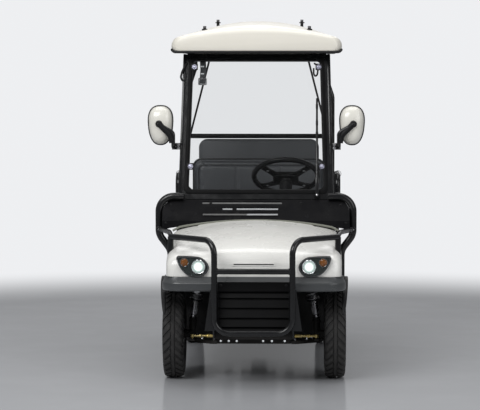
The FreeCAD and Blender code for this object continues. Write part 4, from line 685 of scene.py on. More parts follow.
def make_tyre(name):
    """Tyre about the X axis: sides with rings, a middle rib, and curved grooves swept to the shoulders."""
    profile = list(TYRE_SIDE) + [(-x, r, cut) for x, r, cut in reversed(TYRE_SIDE[:-1])]
    columns = [(pitch + share, deep) for pitch in range(TREAD_PITCHES) for share, deep in TREAD_COLUMNS]
    verts = []
    for turn, deep in columns:
        for x, radius, cut in profile:
            drop = GROOVE_DEPTH * cut * deep
            way = Vector((math.copysign(0.018, x) - x, 0.195 - radius)).normalized() * drop
            sweep = 1.15 * (abs(x) / 0.055) ** 1.35
            angle = 2 * math.pi * (turn + sweep) / TREAD_PITCHES
            r = radius + way.y
            verts.append((x + way.x, r * math.cos(angle), r * math.sin(angle)))
    return new_object(name, verts, wall_faces(len(columns), len(profile), True, False))


def wheel_dress(name):
    """Nuts, grease cap, valve and brake drum of a wheel whose outside faces +X."""
    face = 0.027
    pieces = []
    for index in range(4):
        turn = math.radians(45 + 90 * index)
        nut = bolt_head("wheel_nut", 0.0088, 0.014)
        fit(pieces, "chrome", nut, face, 0.0275 * math.cos(turn), 0.0275 * math.sin(turn), turned(90, "Y"))
    cap = ((0.0001, 0.019), (0.006, 0.019), (0.0105, 0.0172), (0.0135, 0.0135), (0.0145, 0.008),
           (0.0145, 0.0015), (0.0165, 0.0015), (0.0165, 0.0))
    fit(pieces, "trim", lathe("grease_cap", cap, 28, "x"), face, 0, 0)
    bead = ((0.1205, 0.0445), (0.1225, 0.0462), (0.1262, 0.0462), (0.1278, 0.0445))
    fit(pieces, "wheel", lathe("rim_bead", bead, 72, "x", True))
    valve = ((0.030, 0, 0.098), (0.040, 0, 0.0975), (0.052, 0, 0.096))
    fit(pieces, "rubber", tube("valve", valve, (0.0052, 0.004, 0.0036), 10))
    drum = ((0.034, -0.002), (0.088, -0.002), (0.094, -0.008), (0.094, -0.018), (0.097, -0.019),
            (0.097, -0.023), (0.094, -0.024), (0.094, -0.036), (0.034, -0.036))
    fit(pieces, "chassis", lathe("brake_drum", drum, 48, "x", True))
    return join(name, pieces)


def back_plate(name):
    """Brake back plate with its bolts, outside towards +X."""
    pieces = []
    rows = ((0.026, -0.042), (0.10, -0.042), (0.104, -0.038), (0.104, -0.0385), (0.10, -0.0395),
            (0.026, -0.0395))
    fit(pieces, "chassis", lathe("plate", rows, 48, "x", True))
    for index in range(6):
        turn = math.radians(60 * index + 15)
        bolt = bolt_head("plate_bolt", 0.0062, 0.007)
        fit(pieces, "steel", bolt, -0.042, 0.05 * math.cos(turn), 0.05 * math.sin(turn), turned(-90, "Y"))
    return join(name, pieces)


def make_wheels():
    """Tyre, wheel fittings and brake plate at each corner, no two wheels turned alike."""
    holders = {"fl": "knuckle_left", "fr": "knuckle_right", "rl": "chassis", "rr": "chassis"}
    for index, (corner, holder) in enumerate(holders.items()):
        spot = middle_of("tyre_" + corner)
        tyre = make_tyre("tyre_tread_" + corner)
        dress = wheel_dress("wheel_dress_" + corner)
        plate = back_plate("brake_plate_" + corner)
        if corner.endswith("r"):
            for item in (tyre, dress, plate):
                move(item, FLIP)
        roll = turned(37 * index / 3, "X")
        at(tyre, *spot, roll)
        at(dress, *spot, roll)
        at(plate, *spot)
        finish_piece(tyre, "wheel_" + corner, M["tyre"], ("tyre_" + corner,))
        finish_piece(dress, "wheel_" + corner)
        finish_piece(plate, holder)


def coil(name, radius, wire, low, high, turns):
    """Spring about the Z axis with closed ends."""
    steps = int(turns * 26)
    route = []
    for step in range(steps + 1):
        share = step / steps
        angle = 2 * math.pi * turns * share
        risen = min(max((share * turns - 0.8) / (turns - 1.6), 0), 1)
        route.append((radius * math.cos(angle), radius * math.sin(angle), low + (high - low) * risen))
    return tube(name, route, wire, 10)


def make_struts():
    """Damper, dust boot and coil spring on each side, in place of the plain turned piece."""
    pieces = []
    damper = ((0.0001, 0.0), (0.012, 0.0), (0.013, 0.006), (0.018, 0.010), (0.018, 0.112), (0.016, 0.115),
              (0.0085, 0.116), (0.0085, 0.262), (0.0001, 0.262))
    fit(pieces, "steel", lathe("damper", damper, 28))
    rows = []
    for index in range(9):
        low = 0.120 + index * 0.0115
        rows += [(0.0125, low), (0.0175, low + 0.0055)]
    rows = [(0.009, 0.119)] + rows + [(0.0125, 0.2235), (0.009, 0.2235)]
    fit(pieces, "rubber", lathe("dust_boot", rows, 24))
    pan = ((0.018, 0.086), (0.036, 0.086), (0.039, 0.090), (0.036, 0.089), (0.018, 0.089))
    fit(pieces, "chassis", lathe("low_pan", pan, 32, closed=True))
    top = ((0.0085, 0.252), (0.036, 0.252), (0.038, 0.256), (0.030, 0.262), (0.020, 0.2745),
           (0.0085, 0.2745))
    fit(pieces, "chassis", lathe("high_pan", top, 32, closed=True))
    fit(pieces, "steel", coil("spring", 0.029, 0.0048, 0.095, 0.2475, 6.5))
    strut = join("front_strut", pieces)
    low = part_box("struts")[0]
    at(strut, KING_PIN_X, AXLE_Y, low.z + 0.003, turned(-10, "Y"))
    both = join("front_struts", [strut, twin(strut)])
    finish_piece(both, "chassis", replaces=("struts",))


def make_steering_joints():
    """Ball joints, boots and nuts about the front axle."""
    for side, sign in (("left", 1), ("right", -1)):
        pieces = []
        x = sign * KING_PIN_X
        boot = ((0.010, 0.0), (0.0175, 0.003), (0.0185, 0.008), (0.013, 0.011), (0.0155, 0.014),
                (0.010, 0.018))
        fit(pieces, "rubber", lathe("joint_boot", boot, 24), x, AXLE_Y, 0.2075)
        fit(pieces, "steel", bolt_head("joint_nut", 0.011, 0.012), x, AXLE_Y, 0.325)
        collar = ((0.0205, 0.0), (0.0225, 0.002), (0.0225, 0.010), (0.0205, 0.012))
        fit(pieces, "chassis", lathe("joint_collar", collar, 28, closed=True), x, AXLE_Y, 0.299)
        pin = ((0.0001, 0.012), (0.006, 0.012), (0.0085, 0.010), (0.0085, 0.0), (0.0001, 0.0))
        fit(pieces, "zinc", lathe("tie_pin", pin, 20), x, RACK_Y, 0.2205, turned(180, "X"))
        finish_piece(join("upright_joints_" + side, pieces), "knuckle_" + side)
    pieces = []
    for sign in (1, -1):
        rows = [(0.0215, 0.0)]
        for index in range(7):
            rows += [(0.0235 - index * 0.0012, 0.005 + index * 0.009),
                     (0.0175 - index * 0.001, 0.0095 + index * 0.009)]
        boot = lathe("rack_boot", [(0.0205, 0.0)] + rows + [(0.0085, 0.069), (0.008, 0.069)], 24, "x")
        if sign < 0:
            move(boot, FLIP)
        fit(pieces, "rubber", boot, sign * 0.1505, RACK_Y, AXLE_Z)
        fit(pieces, "chrome", bolt_head("arm_bolt", 0.0105, 0.012), sign * 0.283, -0.80, 0.208)
        for y in (-0.705, -0.845):
            fit(pieces, "steel", bolt_head("pivot_bolt", 0.009, 0.010), sign * 0.218, y, 0.208)
    finish_piece(join("rack_boots", pieces), "chassis")
    collars = []
    for sign in (1, -1):
        for x in (0.245, 0.285):
            nut = prism("lock_nut", circle(0.011, 6), (0, 0.012), "x", 0.0012)
            fit(collars, "zinc", nut, x if sign > 0 else -x - 0.012, RACK_Y, AXLE_Z)
    finish_piece(join("tie_rod_nuts", collars), "rack")


def make_rear_springs():
    """Spring plates with U bolts round the axle tube, and shackle bolts at the eyes."""
    pieces = []
    eye_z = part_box("leaf_springs")[1].z - 0.0125
    y = middle_of("tyre_rl").y
    for sign in (1, -1):
        x = SPRING_X * sign
        for ahead in (-0.036, 0.036):
            route = rounded_route(((x - 0.028, y + ahead, 0.302), (x - 0.028, y + ahead, 0.190),
                                   (x + 0.028, y + ahead, 0.190), (x + 0.028, y + ahead, 0.302)), 0.026, 6)
            fit(pieces, "steel", tube("u_bolt", route, 0.005, 10))
            for dx in (-0.028, 0.028):
                fit(pieces, "steel", bolt_head("u_nut", 0.0085, 0.008), x + dx, y + ahead, 0.299)
        fit(pieces, "chassis", box_form("u_plate", (x - 0.042, y - 0.05, 0.293),
                                        (x + 0.042, y + 0.05, 0.299), 0.002))
        for along in (-0.2, 0.2):
            for way in (1, -1):
                head = bolt_head("eye_bolt", 0.009, 0.008)
                fit(pieces, "steel", head, x + way * 0.0225, y + along, eye_z, turned(90 * way, "Y"))
    finish_piece(join("spring_fixings", pieces), "chassis")


make_wheels()
make_struts()
make_steering_joints()
make_rear_springs()


# Lamps


LAMP_X, LAMP_Z = 0.323, 0.628
LAMP_OUTLINE = (
    # outward from the lamp's middle, up, radius of the side that follows
    (-0.055, -0.050, 0.130),
    (0.030, -0.044, 0.150),
    (0.086, 0.038, 0.012),
    (0.074, 0.054, 0.700),
    (-0.030, 0.050, 0.070),
    (-0.085, 0.0, 0.058),
)


def arc_outline(rows, grow):
    """Points of a closed outline whose sides bulge to the right of their way."""
    found = []
    steps = 9
    for (x, z, radius), (x1, z1, _) in zip(rows, rows[1:] + rows[:1]):
        start, end = Vector((x, z)), Vector((x1, z1))
        way = end - start
        half = way.length / 2
        reach = math.sqrt(max(radius * radius - half * half, 0))
        hub = (start + end) / 2 + Vector((-way.y, way.x)).normalized() * reach
        first = start - hub
        turn = 2 * math.asin(min(half / radius, 1))
        for step in range(steps):
            angle = turn * step / steps
            c, n = math.cos(angle), math.sin(angle)
            spot = hub + Vector((first.x * c - first.y * n, first.x * n + first.y * c))
            found.append((spot.x * grow, spot.y * grow))
    return found


def ring_between(name, outer, inner, depth):
    """Flat frame between two outlines with the same number of points."""
    count = len(outer)
    verts = [(a, level, b) for level in depth for outline in (outer, inner) for a, b in outline]
    faces = []
    for index in range(count):
        after = (index + 1) % count
        o0, o1, i0, i1 = index, after, count + index, count + after
        p0, p1, q0, q1 = (value + 2 * count for value in (o0, o1, i0, i1))
        faces += [(o0, i0, i1, o1), (p0, p1, q1, q0), (o0, o1, p1, p0), (i0, q0, q1, i1)]
    return new_object(name, verts, faces)


def domed_pane(name, outline, y, rise, wall):
    """Clear cover: the outline's skin bowed forward, with a wall."""
    centre = (sum(a for a, b in outline) / len(outline), sum(b for a, b in outline) / len(outline))
    rings = 7
    count = len(outline)
    verts = []
    for ring in range(rings):
        share = 1 - ring / rings
        for a, b in outline:
            out = (1 - share ** 2.2) * rise
            verts.append((centre[0] + (a - centre[0]) * share, y - out, centre[1] + (b - centre[1]) * share))
    verts.append((centre[0], y - rise, centre[1]))
    faces = wall_faces(rings, count)
    last = (rings - 1) * count
    for index in range(count):
        faces.append((last + index, last + (index + 1) % count, len(verts) - 1))
    return smooth_by_angle(modified(new_object(name, verts, faces), "SOLIDIFY", thickness=wall, offset=-1.0))


def make_lamps():
    """Bezel, glowing main lamp ringed by a painted halo, amber turn lamp and clear cover on each side."""
    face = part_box("head_lamps")[0].y
    outer, inner = arc_outline(LAMP_OUTLINE, 0.985), arc_outline(LAMP_OUTLINE, 0.90)
    pieces = []
    fit(pieces, "charcoal", bevel(ring_between("bezel", outer, inner, (-0.0075, 0.002)), 0.0018, 2, 50))
    fit(pieces, "reflector", prism("pan", arc_outline(LAMP_OUTLINE, 0.885), (-0.0012, 0.001)))
    beam = (-0.030, 0, 0)
    bowl = ((0.0385, -0.002), (0.0385, 0.007), (0.036, 0.0095), (0.034, 0.0085), (0.0315, 0.004),
            (0.0300, 0.002))
    fit(pieces, "chrome", lathe("bowl", bowl, 44, "-y"), *beam)
    # the outermost ring glows faintly as a painted halo round the lamp, not as a lit face
    for inner, outer, finish in ((0.0, 0.0175, "led"), (0.0175, 0.0235, "led_mid"),
                                 (0.0235, 0.0290, "led_edge"), (0.0290, 0.0340, "led_painted_halo")):
        rows = ((max(inner, 0.0001), 0.0092 - 6 * inner * inner), (outer, 0.0092 - 6 * outer * outer))
        fit(pieces, finish, lathe("beam_lens", rows, 36, "-y"), *beam)
    ring = ((0.0235, 0.0), (0.0235, 0.006), (0.0215, 0.0078), (0.0198, 0.006), (0.0195, 0.0))
    fit(pieces, "chrome", lathe("turn_ring", ring, 36, "-y"), 0.044, 0, 0.023)
    fit(pieces, "amber", ball("amber", 0.0195, (1, 1, 0.42), 28), 0.044, -0.001, 0.023, FORWARD)
    fit(pieces, "chrome", box_form("fin", (-0.048, -0.004, -0.040), (0.010, -0.001, -0.0385), 0.0004, 1))
    unit = at(join("lamp_unit", pieces), LAMP_X, face, LAMP_Z)
    both = join("lamp_units", [unit, twin(unit)])
    finish_piece(both, "chassis", replaces=("lamp_lenses",))
    cover = domed_pane("lamp_cover", arc_outline(LAMP_OUTLINE, 0.93), -0.0055, 0.0075, 0.0016)
    at(cover, LAMP_X, face, LAMP_Z)
    covers = join("lamp_covers", [cover, twin(cover)])
    finish_piece(covers, "chassis", M["lamp_glass"])


make_lamps()


# Roof


ROOF_FRONT = -0.285
ROOF_LONG = 1.43
ROOF_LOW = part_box("roof")[0].z
# share of the length and of the crown
ROOF_CROWN = ((0, 0.02), (0.014, 0.12), (0.045, 0.27), (0.16, 0.52), (0.36, 0.80), (0.58, 0.96), (0.80, 1.0),
              (0.94, 0.87), (0.985, 0.68), (1.0, 0.48))


def eased(x, rows):
    """Smooth curve through (x, y) rows."""
    xs = [row[0] for row in rows]
    ys = [row[1] for row in rows]
    if x <= xs[0]:
        return ys[0]
    if x >= xs[-1]:
        return ys[-1]
    spot = max(i for i in range(len(xs) - 1) if xs[i] <= x)
    slopes = []
    for i in (spot, spot + 1):
        if i == 0 or i == len(xs) - 1:
            a, b = (0, 1) if i == 0 else (-2, -1)
            slopes.append((ys[b] - ys[a]) / (xs[b] - xs[a]))
        else:
            d0 = (ys[i] - ys[i - 1]) / (xs[i] - xs[i - 1])
            d1 = (ys[i + 1] - ys[i]) / (xs[i + 1] - xs[i])
            slopes.append(0 if d0 * d1 <= 0 else 2 * d0 * d1 / (d0 + d1))
    wide = xs[spot + 1] - xs[spot]
    t = (x - xs[spot]) / wide
    h00, h10 = 2 * t ** 3 - 3 * t ** 2 + 1, t ** 3 - 2 * t ** 2 + t
    h01, h11 = -2 * t ** 3 + 3 * t ** 2, t ** 3 - t ** 2
    return h00 * ys[spot] + h10 * wide * slopes[0] + h01 * ys[spot + 1] + h11 * wide * slopes[1]


def round_in(distance, reach, lost):
    """How far a quarter round stands in at a distance from the end."""
    if distance >= reach:
        return 0.0
    share = 1 - distance / reach
    return lost * (1 - math.sqrt(max(1 - share * share, 0)))


def upright_section(y, half, low, edge, middle, corner, foot, crown=28):
    """Closed section: rounded feet, straight sides, rounded shoulders, arched top."""
    points = []
    for step in range(5):
        angle = math.radians(-90 + 90 * step / 4)
        points.append((half - foot + foot * math.cos(angle), low + foot + foot * math.sin(angle)))
    for step in range(1, 3):
        points.append((half, low + foot + (edge - corner - low - foot) * step / 3))
    for step in range(9):
        angle = math.radians(90 * step / 8 * 0.86)
        points.append((half - corner + corner * math.cos(angle), edge - corner + corner * math.sin(angle)))
    x1, z1 = points[-1]
    for step in range(1, crown):
        share = step / crown
        x = x1 * (1 - 2 * share)
        points.append((x, z1 + (middle - z1) * (1 - (1 - 2 * share) ** 2) ** 0.92))
    left = [(-x, z) for x, z in reversed(points[:16])]
    return [(x, y, z) for x, z in points + left]


def skin_from(name, sections):
    """Closed form through sections with equal numbers of points."""
    rows, count = len(sections), len(sections[0])
    return new_object(name, [p for section in sections for p in section],
                      wall_faces(rows, count) + end_faces(rows, count))


def stations(long, ends, count):
    """Places along a length, close together near both ends."""
    found = []
    for step in range(count + 1):
        share = step / count
        found.append(long * (share - ends * math.sin(2 * math.pi * share) / (2 * math.pi)))
    return found


def roof_shape(name, inset, low, foot):
    """Roof's outside, or the hollow below it when inset."""
    sections = []
    for d in stations(ROOF_LONG - 2 * inset, 0.93, 46):
        along = (d + inset) / ROOF_LONG
        end = min(d, ROOF_LONG - 2 * inset - d)
        half = 0.481 - inset - round_in(end, 0.075, 0.040)
        drop = round_in(end, 0.028, 0.020)
        edge = ROOF_LOW + 0.087 - inset - drop
        middle = ROOF_LOW + 0.122 + 0.064 * eased(along, ROOF_CROWN) - inset - drop * 1.2
        rise = round_in(end, 0.014, 0.010) if foot > 0.005 else 0
        corner = min(max(0.060 - inset, 0.02), edge - low - rise - foot - 0.004)
        y = ROOF_FRONT + inset + d
        sections.append(upright_section(y, half, low + rise, edge, middle, corner, foot))
    return skin_from(name, sections)


def make_roof():
    """Moulded roof with rounded edges, hollow below, on a black rubber edge."""
    skin = roof_shape("roof_skin", 0.0, ROOF_LOW, 0.027)
    cut_away(skin, roof_shape("roof_hollow", 0.024, ROOF_LOW - 0.03, 0.004))
    finish_piece(skin, "chassis", M["cream"], ("roof",))
    middle = ROOF_FRONT + ROOF_LONG / 2
    outline = rounded_outline(0.4775, ROOF_LONG / 2 - 0.004, 0.05, 12, (0, middle))
    route = []
    for x, y in outline:
        curl = max(abs(x) - 0.454, 0)
        route.append((x, y, ROOF_LOW - 0.0030 + 0.027 - math.sqrt(0.027 ** 2 - curl * curl)))
    edge = paint(tube("roof_edge", route, 0.0072, 12, closed=True), M["rubber"])
    low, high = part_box("roof_rim")
    ledge = ring_between("roof_ledge", rounded_outline(0.458, ROOF_LONG / 2 - 0.010, 0.05, 10),
                         rounded_outline(0.352, ROOF_LONG / 2 - 0.07, 0.04, 10), (-high.z + 0.0002, -low.z))
    ledge = bevel(ledge, 0.0015, 2, 50)
    ledge.data.transform(turned(-90, "X"))
    tidy_normals(ledge)
    ledge.data.transform(Matrix.Translation((0, middle, 0)))
    finish_piece(paint(ledge, M["trim"]), "chassis", replaces=("roof_rim",))
    ribs = []
    for x in (-0.28, 0.28):
        low, high = (x - 0.02, ROOF_FRONT + 0.06, ROOF_LOW + 0.052), (x + 0.02, 1.08, ROOF_LOW + 0.064)
        fit(ribs, "cream", box_form("roof_rib", low, high, 0.004))
    for y in (0.1, 0.78):
        low, high = (-0.4, y - 0.02, ROOF_LOW + 0.052), (0.4, y + 0.02, ROOF_LOW + 0.066)
        fit(ribs, "cream", box_form("roof_rib", low, high, 0.004))
    trim = join("roof_trim", [edge] + ribs)
    finish_piece(trim, "chassis")
    pieces = []
    for x, y, top in ((0.298, -0.092, 1.911), (0.258, 0.96, 1.966)):
        for sign in (1, -1):
            for level in (0.006, 0.012):
                thread = lathe("stud_thread", ((0.0088, 0.0), (0.0101, 0.0012), (0.0088, 0.0024)), 20)
                fit(pieces, "steel", thread, sign * x, y, top - level)
            nut = prism("stud_nut", circle(0.0165, 6), (0, 0.006), "z", 0.001)
            fit(pieces, "trim", nut, sign * x, y, top - 0.0215)
    finish_piece(join("stud_fittings", pieces), "chassis")


# Windscreen


ON_SCREEN = Matrix.Translation((0, -0.382, 0.94)) @ turned(-14.5, "X")


def pane_outline(grow=0.0, up=0.0, r=0.026):
    """Pane's outline on the screen's slope: across, up."""
    low, high = 0.396 + grow, 0.377 + grow
    bottom, top = 0.035 - grow, 0.814 + grow + up
    found = []
    for cx, cz, start in ((low, bottom, -90), (high, top, 0), (-high, top, 90), (-low, bottom, 180)):
        found += corner_arc(cx - math.copysign(r, cx), cz + (r if cz < 0.4 else -r), r, start, 6)
    return found


def make_windscreen():
    """Rubber seal round the pane, dome bolts on pads, corner gussets, hinges, a strap and loops."""
    pieces = []
    route = [(x, -0.0131, z) for x, z in pane_outline(0.001)]
    fit(pieces, "rubber", tube("screen_seal", route, 0.0052, 10, closed=True))
    band = ring_between("seal_band", pane_outline(0.004), pane_outline(-0.015, 0.011, 0.046),
                        (-0.0184, -0.0125))
    fit(pieces, "deep", bevel(band, 0.0015, 2, 50))
    for sign in (1, -1):
        lean = math.degrees(math.atan2(0.019, 0.78)) * sign
        cover = box_form("post_cover", (-0.0095, -0.0165, 0.004), (0.0095, 0.012, 0.836), 0.004)
        fit(pieces, "paint", cover, sign * 0.4255, 0, 0, turned(-lean, "Y"))
    route = [(x * 0.955, -0.0148, 0.4245 + (z - 0.4245) * 0.955) for x, z in pane_outline()]
    fit(pieces, "rubber", tube("screen_bead", route, 0.0032, 8, closed=True))
    for x, z in ((0.351, 0.759), (-0.351, 0.759), (0.367, 0.185), (-0.367, 0.185)):
        pad = prism("bolt_pad", rounded_outline(0.019, 0.019, 0.004, 3), (0.018, 0.0225), "z", 0.0012)
        fit(pieces, "rubber", pad, x, 0, z, FORWARD)
        washer = ((0.0001, 0.024), (0.0135, 0.024), (0.0145, 0.0232), (0.0145, 0.0222))
        fit(pieces, "dome", lathe("bolt_washer", washer, 24, "-y"), x, 0, z)
        fit(pieces, "dome", dome_bolt("screen_bolt", 0.0118), x, -0.0235, z, FORWARD)
        fit(pieces, "trim", dome_bolt("back_nut", 0.011), x, 0.0135, z, turned(-90, "X"))
    gusset = [(0.376, 0.812), (0.314, 0.812), (0.330, 0.806), (0.348, 0.798), (0.362, 0.784),
              (0.370, 0.766), (0.378, 0.750)]
    for sign in (1, -1):
        fit(pieces, "paint", prism("gusset", mirrored(gusset, sign), (-0.0125, -0.0060)))
        hinge = box_form("screen_hinge", (-0.022, -0.0165, 0.812), (0.022, 0.012, 0.834), 0.003)
        fit(pieces, "trim", hinge, sign * 0.30, 0, 0)
    finish_piece(move(join("screen_fittings", pieces), ON_SCREEN), "chassis")
    soft = []
    rows = [(-0.306, -0.172, 1.735), (-0.302, -0.178, 1.66), (-0.308, -0.188, 1.585)]
    fit(soft, "web", strap("visor_strap", rows, 0.034, 0.005))
    buckle = ring_between("buckle", rounded_outline(0.024, 0.020, 0.005, 4),
                          rounded_outline(0.017, 0.0125, 0.003, 4), (-0.003, 0.003))
    fit(soft, "steel", buckle, -0.307, -0.188, 1.597)
    for z in (1.6375, 1.678):
        fit(soft, "pale", box_form("strap_tab", (-0.317, -0.188, z), (-0.298, -0.1835, z + 0.007), 0.001, 1))
    for points, wire in (
        (((-0.392, -0.200, 1.700), (-0.404, -0.215, 1.688), (-0.421, -0.225, 1.650), (-0.428, -0.228, 1.622),
          (-0.418, -0.226, 1.600), (-0.404, -0.222, 1.607), (-0.398, -0.215, 1.640)), 0.0058),
        (((0.326, -0.178, 1.700), (0.338, -0.192, 1.690), (0.346, -0.200, 1.662), (0.342, -0.202, 1.634),
          (0.330, -0.198, 1.626), (0.322, -0.190, 1.642), (0.322, -0.180, 1.672)), 0.0050),
    ):
        fit(soft, "rubber", tube("tie_loop", rounded_route(points, 0.02, 5), wire, 12))
    finish_piece(join("straps_and_loops", soft), "chassis")


def strap(name, rows, wide, thick):
    """Flat web along points, its width across the cart."""
    corners = ((-0.5, -0.5), (0.5, -0.5), (0.5, 0.5), (-0.5, 0.5))
    sections = []
    for p in rounded_route(rows, 0.12, 8):
        sections.append([(p.x + dx * wide, p.y + dy * thick, p.z) for dx, dy in corners])
    return bevel(skin_from(name, sections), 0.0012, 2, 60)


def make_wiper():
    """Arm, articulated blade with a rubber lip, and spindle cap, then the washer jet."""
    pieces = []
    cap = ((0.0001, 0.031), (0.009, 0.030), (0.0135, 0.026), (0.0155, 0.019), (0.0155, 0.004),
           (0.018, 0.002), (0.018, 0.0))
    fit(pieces, "trim", lathe("wiper_cap", cap, 28, "-y"), 0, -0.0135, 0)
    nut = ((0.0001, 0.037), (0.0055, 0.036), (0.0068, 0.033), (0.0068, 0.029))
    fit(pieces, "steel", lathe("wiper_nut", nut, 18, "-y"), 0, -0.0135, 0)
    arm = [(-0.0095, -0.012), (0.0095, -0.012), (0.0085, 0.09), (0.0052, 0.12), (0.0042, 0.352),
           (-0.0042, 0.352), (-0.0052, 0.12), (-0.0085, 0.09)]
    fit(pieces, "paint", prism("wiper_arm", arm, (-0.0405, -0.0345), "y", 0.0015))
    fit(pieces, "trim", box_form("wiper_claw", (-0.0075, -0.0410, 0.325), (0.0075, -0.0285, 0.362), 0.002))
    spine = [(-0.0052, 0.105), (0.0052, 0.105), (0.0062, 0.33), (0.0052, 0.556), (-0.0052, 0.556),
             (-0.0062, 0.33)]
    fit(pieces, "trim", prism("wiper_spine", spine, (-0.0315, -0.0275), "y", 0.001))
    for z in (0.150, 0.245, 0.415, 0.510):
        fit(pieces, "paint", box_form("wiper_bridge", (-0.0068, -0.0300, z - 0.014),
                                      (0.0068, -0.0240, z + 0.014), 0.0016))
    lip = [(-0.0042, -0.0275), (0.0042, -0.0275), (0.0036, -0.0245), (0.0011, -0.0225), (0.0009, -0.0188),
           (-0.0009, -0.0188), (-0.0011, -0.0225), (-0.0036, -0.0245)]
    fit(pieces, "rubber", prism("wiper_lip", lip, (0.104, 0.558), "z"))
    wiper = move(join("wiper_parts", pieces), ON_SCREEN @ Matrix.Translation((0.340, 0, 0.018)))
    finish_piece(wiper, "wiper", replaces=("wiper",))
    pieces = []
    fit(pieces, "pale", ball("washer_jet", 0.0095, (1, 1, 0.8), 20), 0.389, -0.4005, 0.914)
    base = lathe("jet_base", ((0.0001, 0.004), (0.0125, 0.004), (0.0135, 0.002), (0.0135, 0.0)), 22, "-y")
    fit(pieces, "trim", base, 0.389, -0.3975, 0.912)
    finish_piece(join("washer", pieces), "chassis")


# Mirrors


def egg_outline(half_x, half_z):
    """Rounded outline, narrower towards its foot."""
    steps, power, taper = 44, 2.5, 0.13
    found = []
    for c, n in circle(1, steps):
        x = math.copysign(abs(c) ** (2 / power), c) * half_x
        z = math.copysign(abs(n) ** (2 / power), n) * half_z
        found.append((x * (1 + taper * z / half_z) / (1 + taper), z))
    return found


def make_mirrors():
    """Egg-shaped housings with a black rim, a pivot boss, and bolts on the bracket."""
    y0 = -0.3484
    outline = egg_outline(0.0735, 0.1065)
    count = len(outline)
    rings = 12
    verts = []
    for ring in range(rings + 1):
        share = math.cos(math.pi / 2 * ring / rings) ** 0.72
        depth = 0.062 * math.sin(math.pi / 2 * ring / rings) ** 0.78
        verts += [(x * share, y0 - depth, z * share) for x, z in outline]
    shell = new_object("mirror_shell", verts, wall_faces(rings + 1, count) + [tuple(range(count))[::-1]])
    tidy_normals(shell, weld=0.0004)
    smooth_by_angle(shell, 50)
    pieces = []
    fit(pieces, "mirror_case", shell)
    rim = [(x, y0 - 0.003, z) for x, z in outline]
    fit(pieces, "rubber", tube("mirror_rim", rim, 0.0062, 10, closed=True))
    whole = at(join("mirror_left", pieces), 0.535, 0, 1.355)
    both = join("mirror_housings", [whole, twin(whole)])
    finish_piece(both, "chassis", replaces=("mirrors",))
    pieces = []
    bracket_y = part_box("mirror_arms")[1].y - 0.030
    for sign in (1, -1):
        rows = ((0.0001, 0.016), (0.0115, 0.0155), (0.015, 0.012), (0.016, 0.006), (0.020, 0.0))
        fit(pieces, "trim", lathe("mirror_boss", rows, 26, "-y"), sign * 0.541, -0.412, 1.363)
        route = [(sign * 0.537, -0.4150, 1.360), (sign * 0.478, -0.4190, 1.301),
                 (sign * 0.4705, -0.4183, 1.258)]
        route = rounded_route(route, 0.05, 8)
        radii = [0.0165 - 0.0035 * step / (len(route) - 1) for step in range(len(route))]
        fit(pieces, "trim", tube("mirror_stalk", route, radii, 18))
        fit(pieces, "trim", ball("stalk_end", 0.0175, (1, 0.8, 1), 22), sign * 0.537, -0.4150, 1.360)
        for dz in (-0.009, 0.010):
            bolt = bolt_head("bracket_bolt", 0.0072, 0.007)
            fit(pieces, "steel", bolt, sign * 0.437, bracket_y, 1.235 + dz, FORWARD)
        rows = ((0.0112, 0.0), (0.0145, 0.002), (0.0145, 0.012), (0.0112, 0.014))
        fit(pieces, "trim", lathe("stem_collar", rows, 24, closed=True), sign * 0.4705, -0.4183, 1.268)
    finish_piece(join("mirror_fittings", pieces), "chassis")


make_roof()
make_windscreen()
make_wiper()
make_mirrors()


# Front body


NOSE_Y = -1.080
NOSE_LONG = 0.610
# share of the length back from the nose, share of the hood's height
HOOD_RISE = ((0, 0.0), (0.018, 0.15), (0.05, 0.29), (0.13, 0.42), (0.33, 0.62), (0.64, 0.84), (1.0, 1.0))
HOOD_SPREAD = ((0, 0.036), (0.012, 0.023), (0.03, 0.011), (0.07, 0.004), (0.13, 0.001), (0.2, 0.0),
               (1.0, 0.0))


def soft_step(value, low, high):
    """Step from 0 to 1 that starts and ends gently."""
    share = min(max((value - low) / (high - low), 0), 1)
    return share * share * (3 - 2 * share)


def hood_relief(x, along):
    """Raised middle panel between two folds."""
    x = abs(x)
    fold = 0.205 + 0.114 * along
    raised = 0.0040 * (1 - soft_step(x, fold - 0.009, fold + 0.006))
    groove = -0.0018 * math.exp(-((x - fold - 0.010) / 0.007) ** 2)
    return (raised + groove) * soft_step(along, 0.0, 0.06)


def nose_shape(name, inset, crown, relief=True):
    """Nose's outside, or the hollow inside it when inset."""
    sections = []
    places = [0.0, 0.0012, 0.003, 0.006, 0.010, 0.015, 0.022, 0.030, 0.042, 0.056, 0.073, 0.095, 0.12, 0.15]
    places += [0.15 + 0.46 * step / 18 for step in range(1, 19)]
    for d in places:
        along = d / NOSE_LONG
        y = NOSE_Y + d
        if inset:
            y = NOSE_Y + inset + d * (NOSE_LONG + 0.01 - inset) / NOSE_LONG
        up = eased(along, HOOD_RISE)
        middle = 0.655 + 0.173 * up - inset
        edge = middle - 0.048 * (0.35 + 0.65 * up)
        nose = round_in(d, 0.012, 0.008)
        half = 0.468 - eased(along, HOOD_SPREAD) - inset
        points = []
        for x, py, z in upright_section(y, half, 0.322 - inset, edge - nose, middle - nose, 0.062 - inset,
                                        0.002, crown):
            lift = hood_relief(x, along) if relief and z > edge - 0.03 else 0
            points.append((x, py, z + lift))
        sections.append(points)
    return skin_from(name, sections)


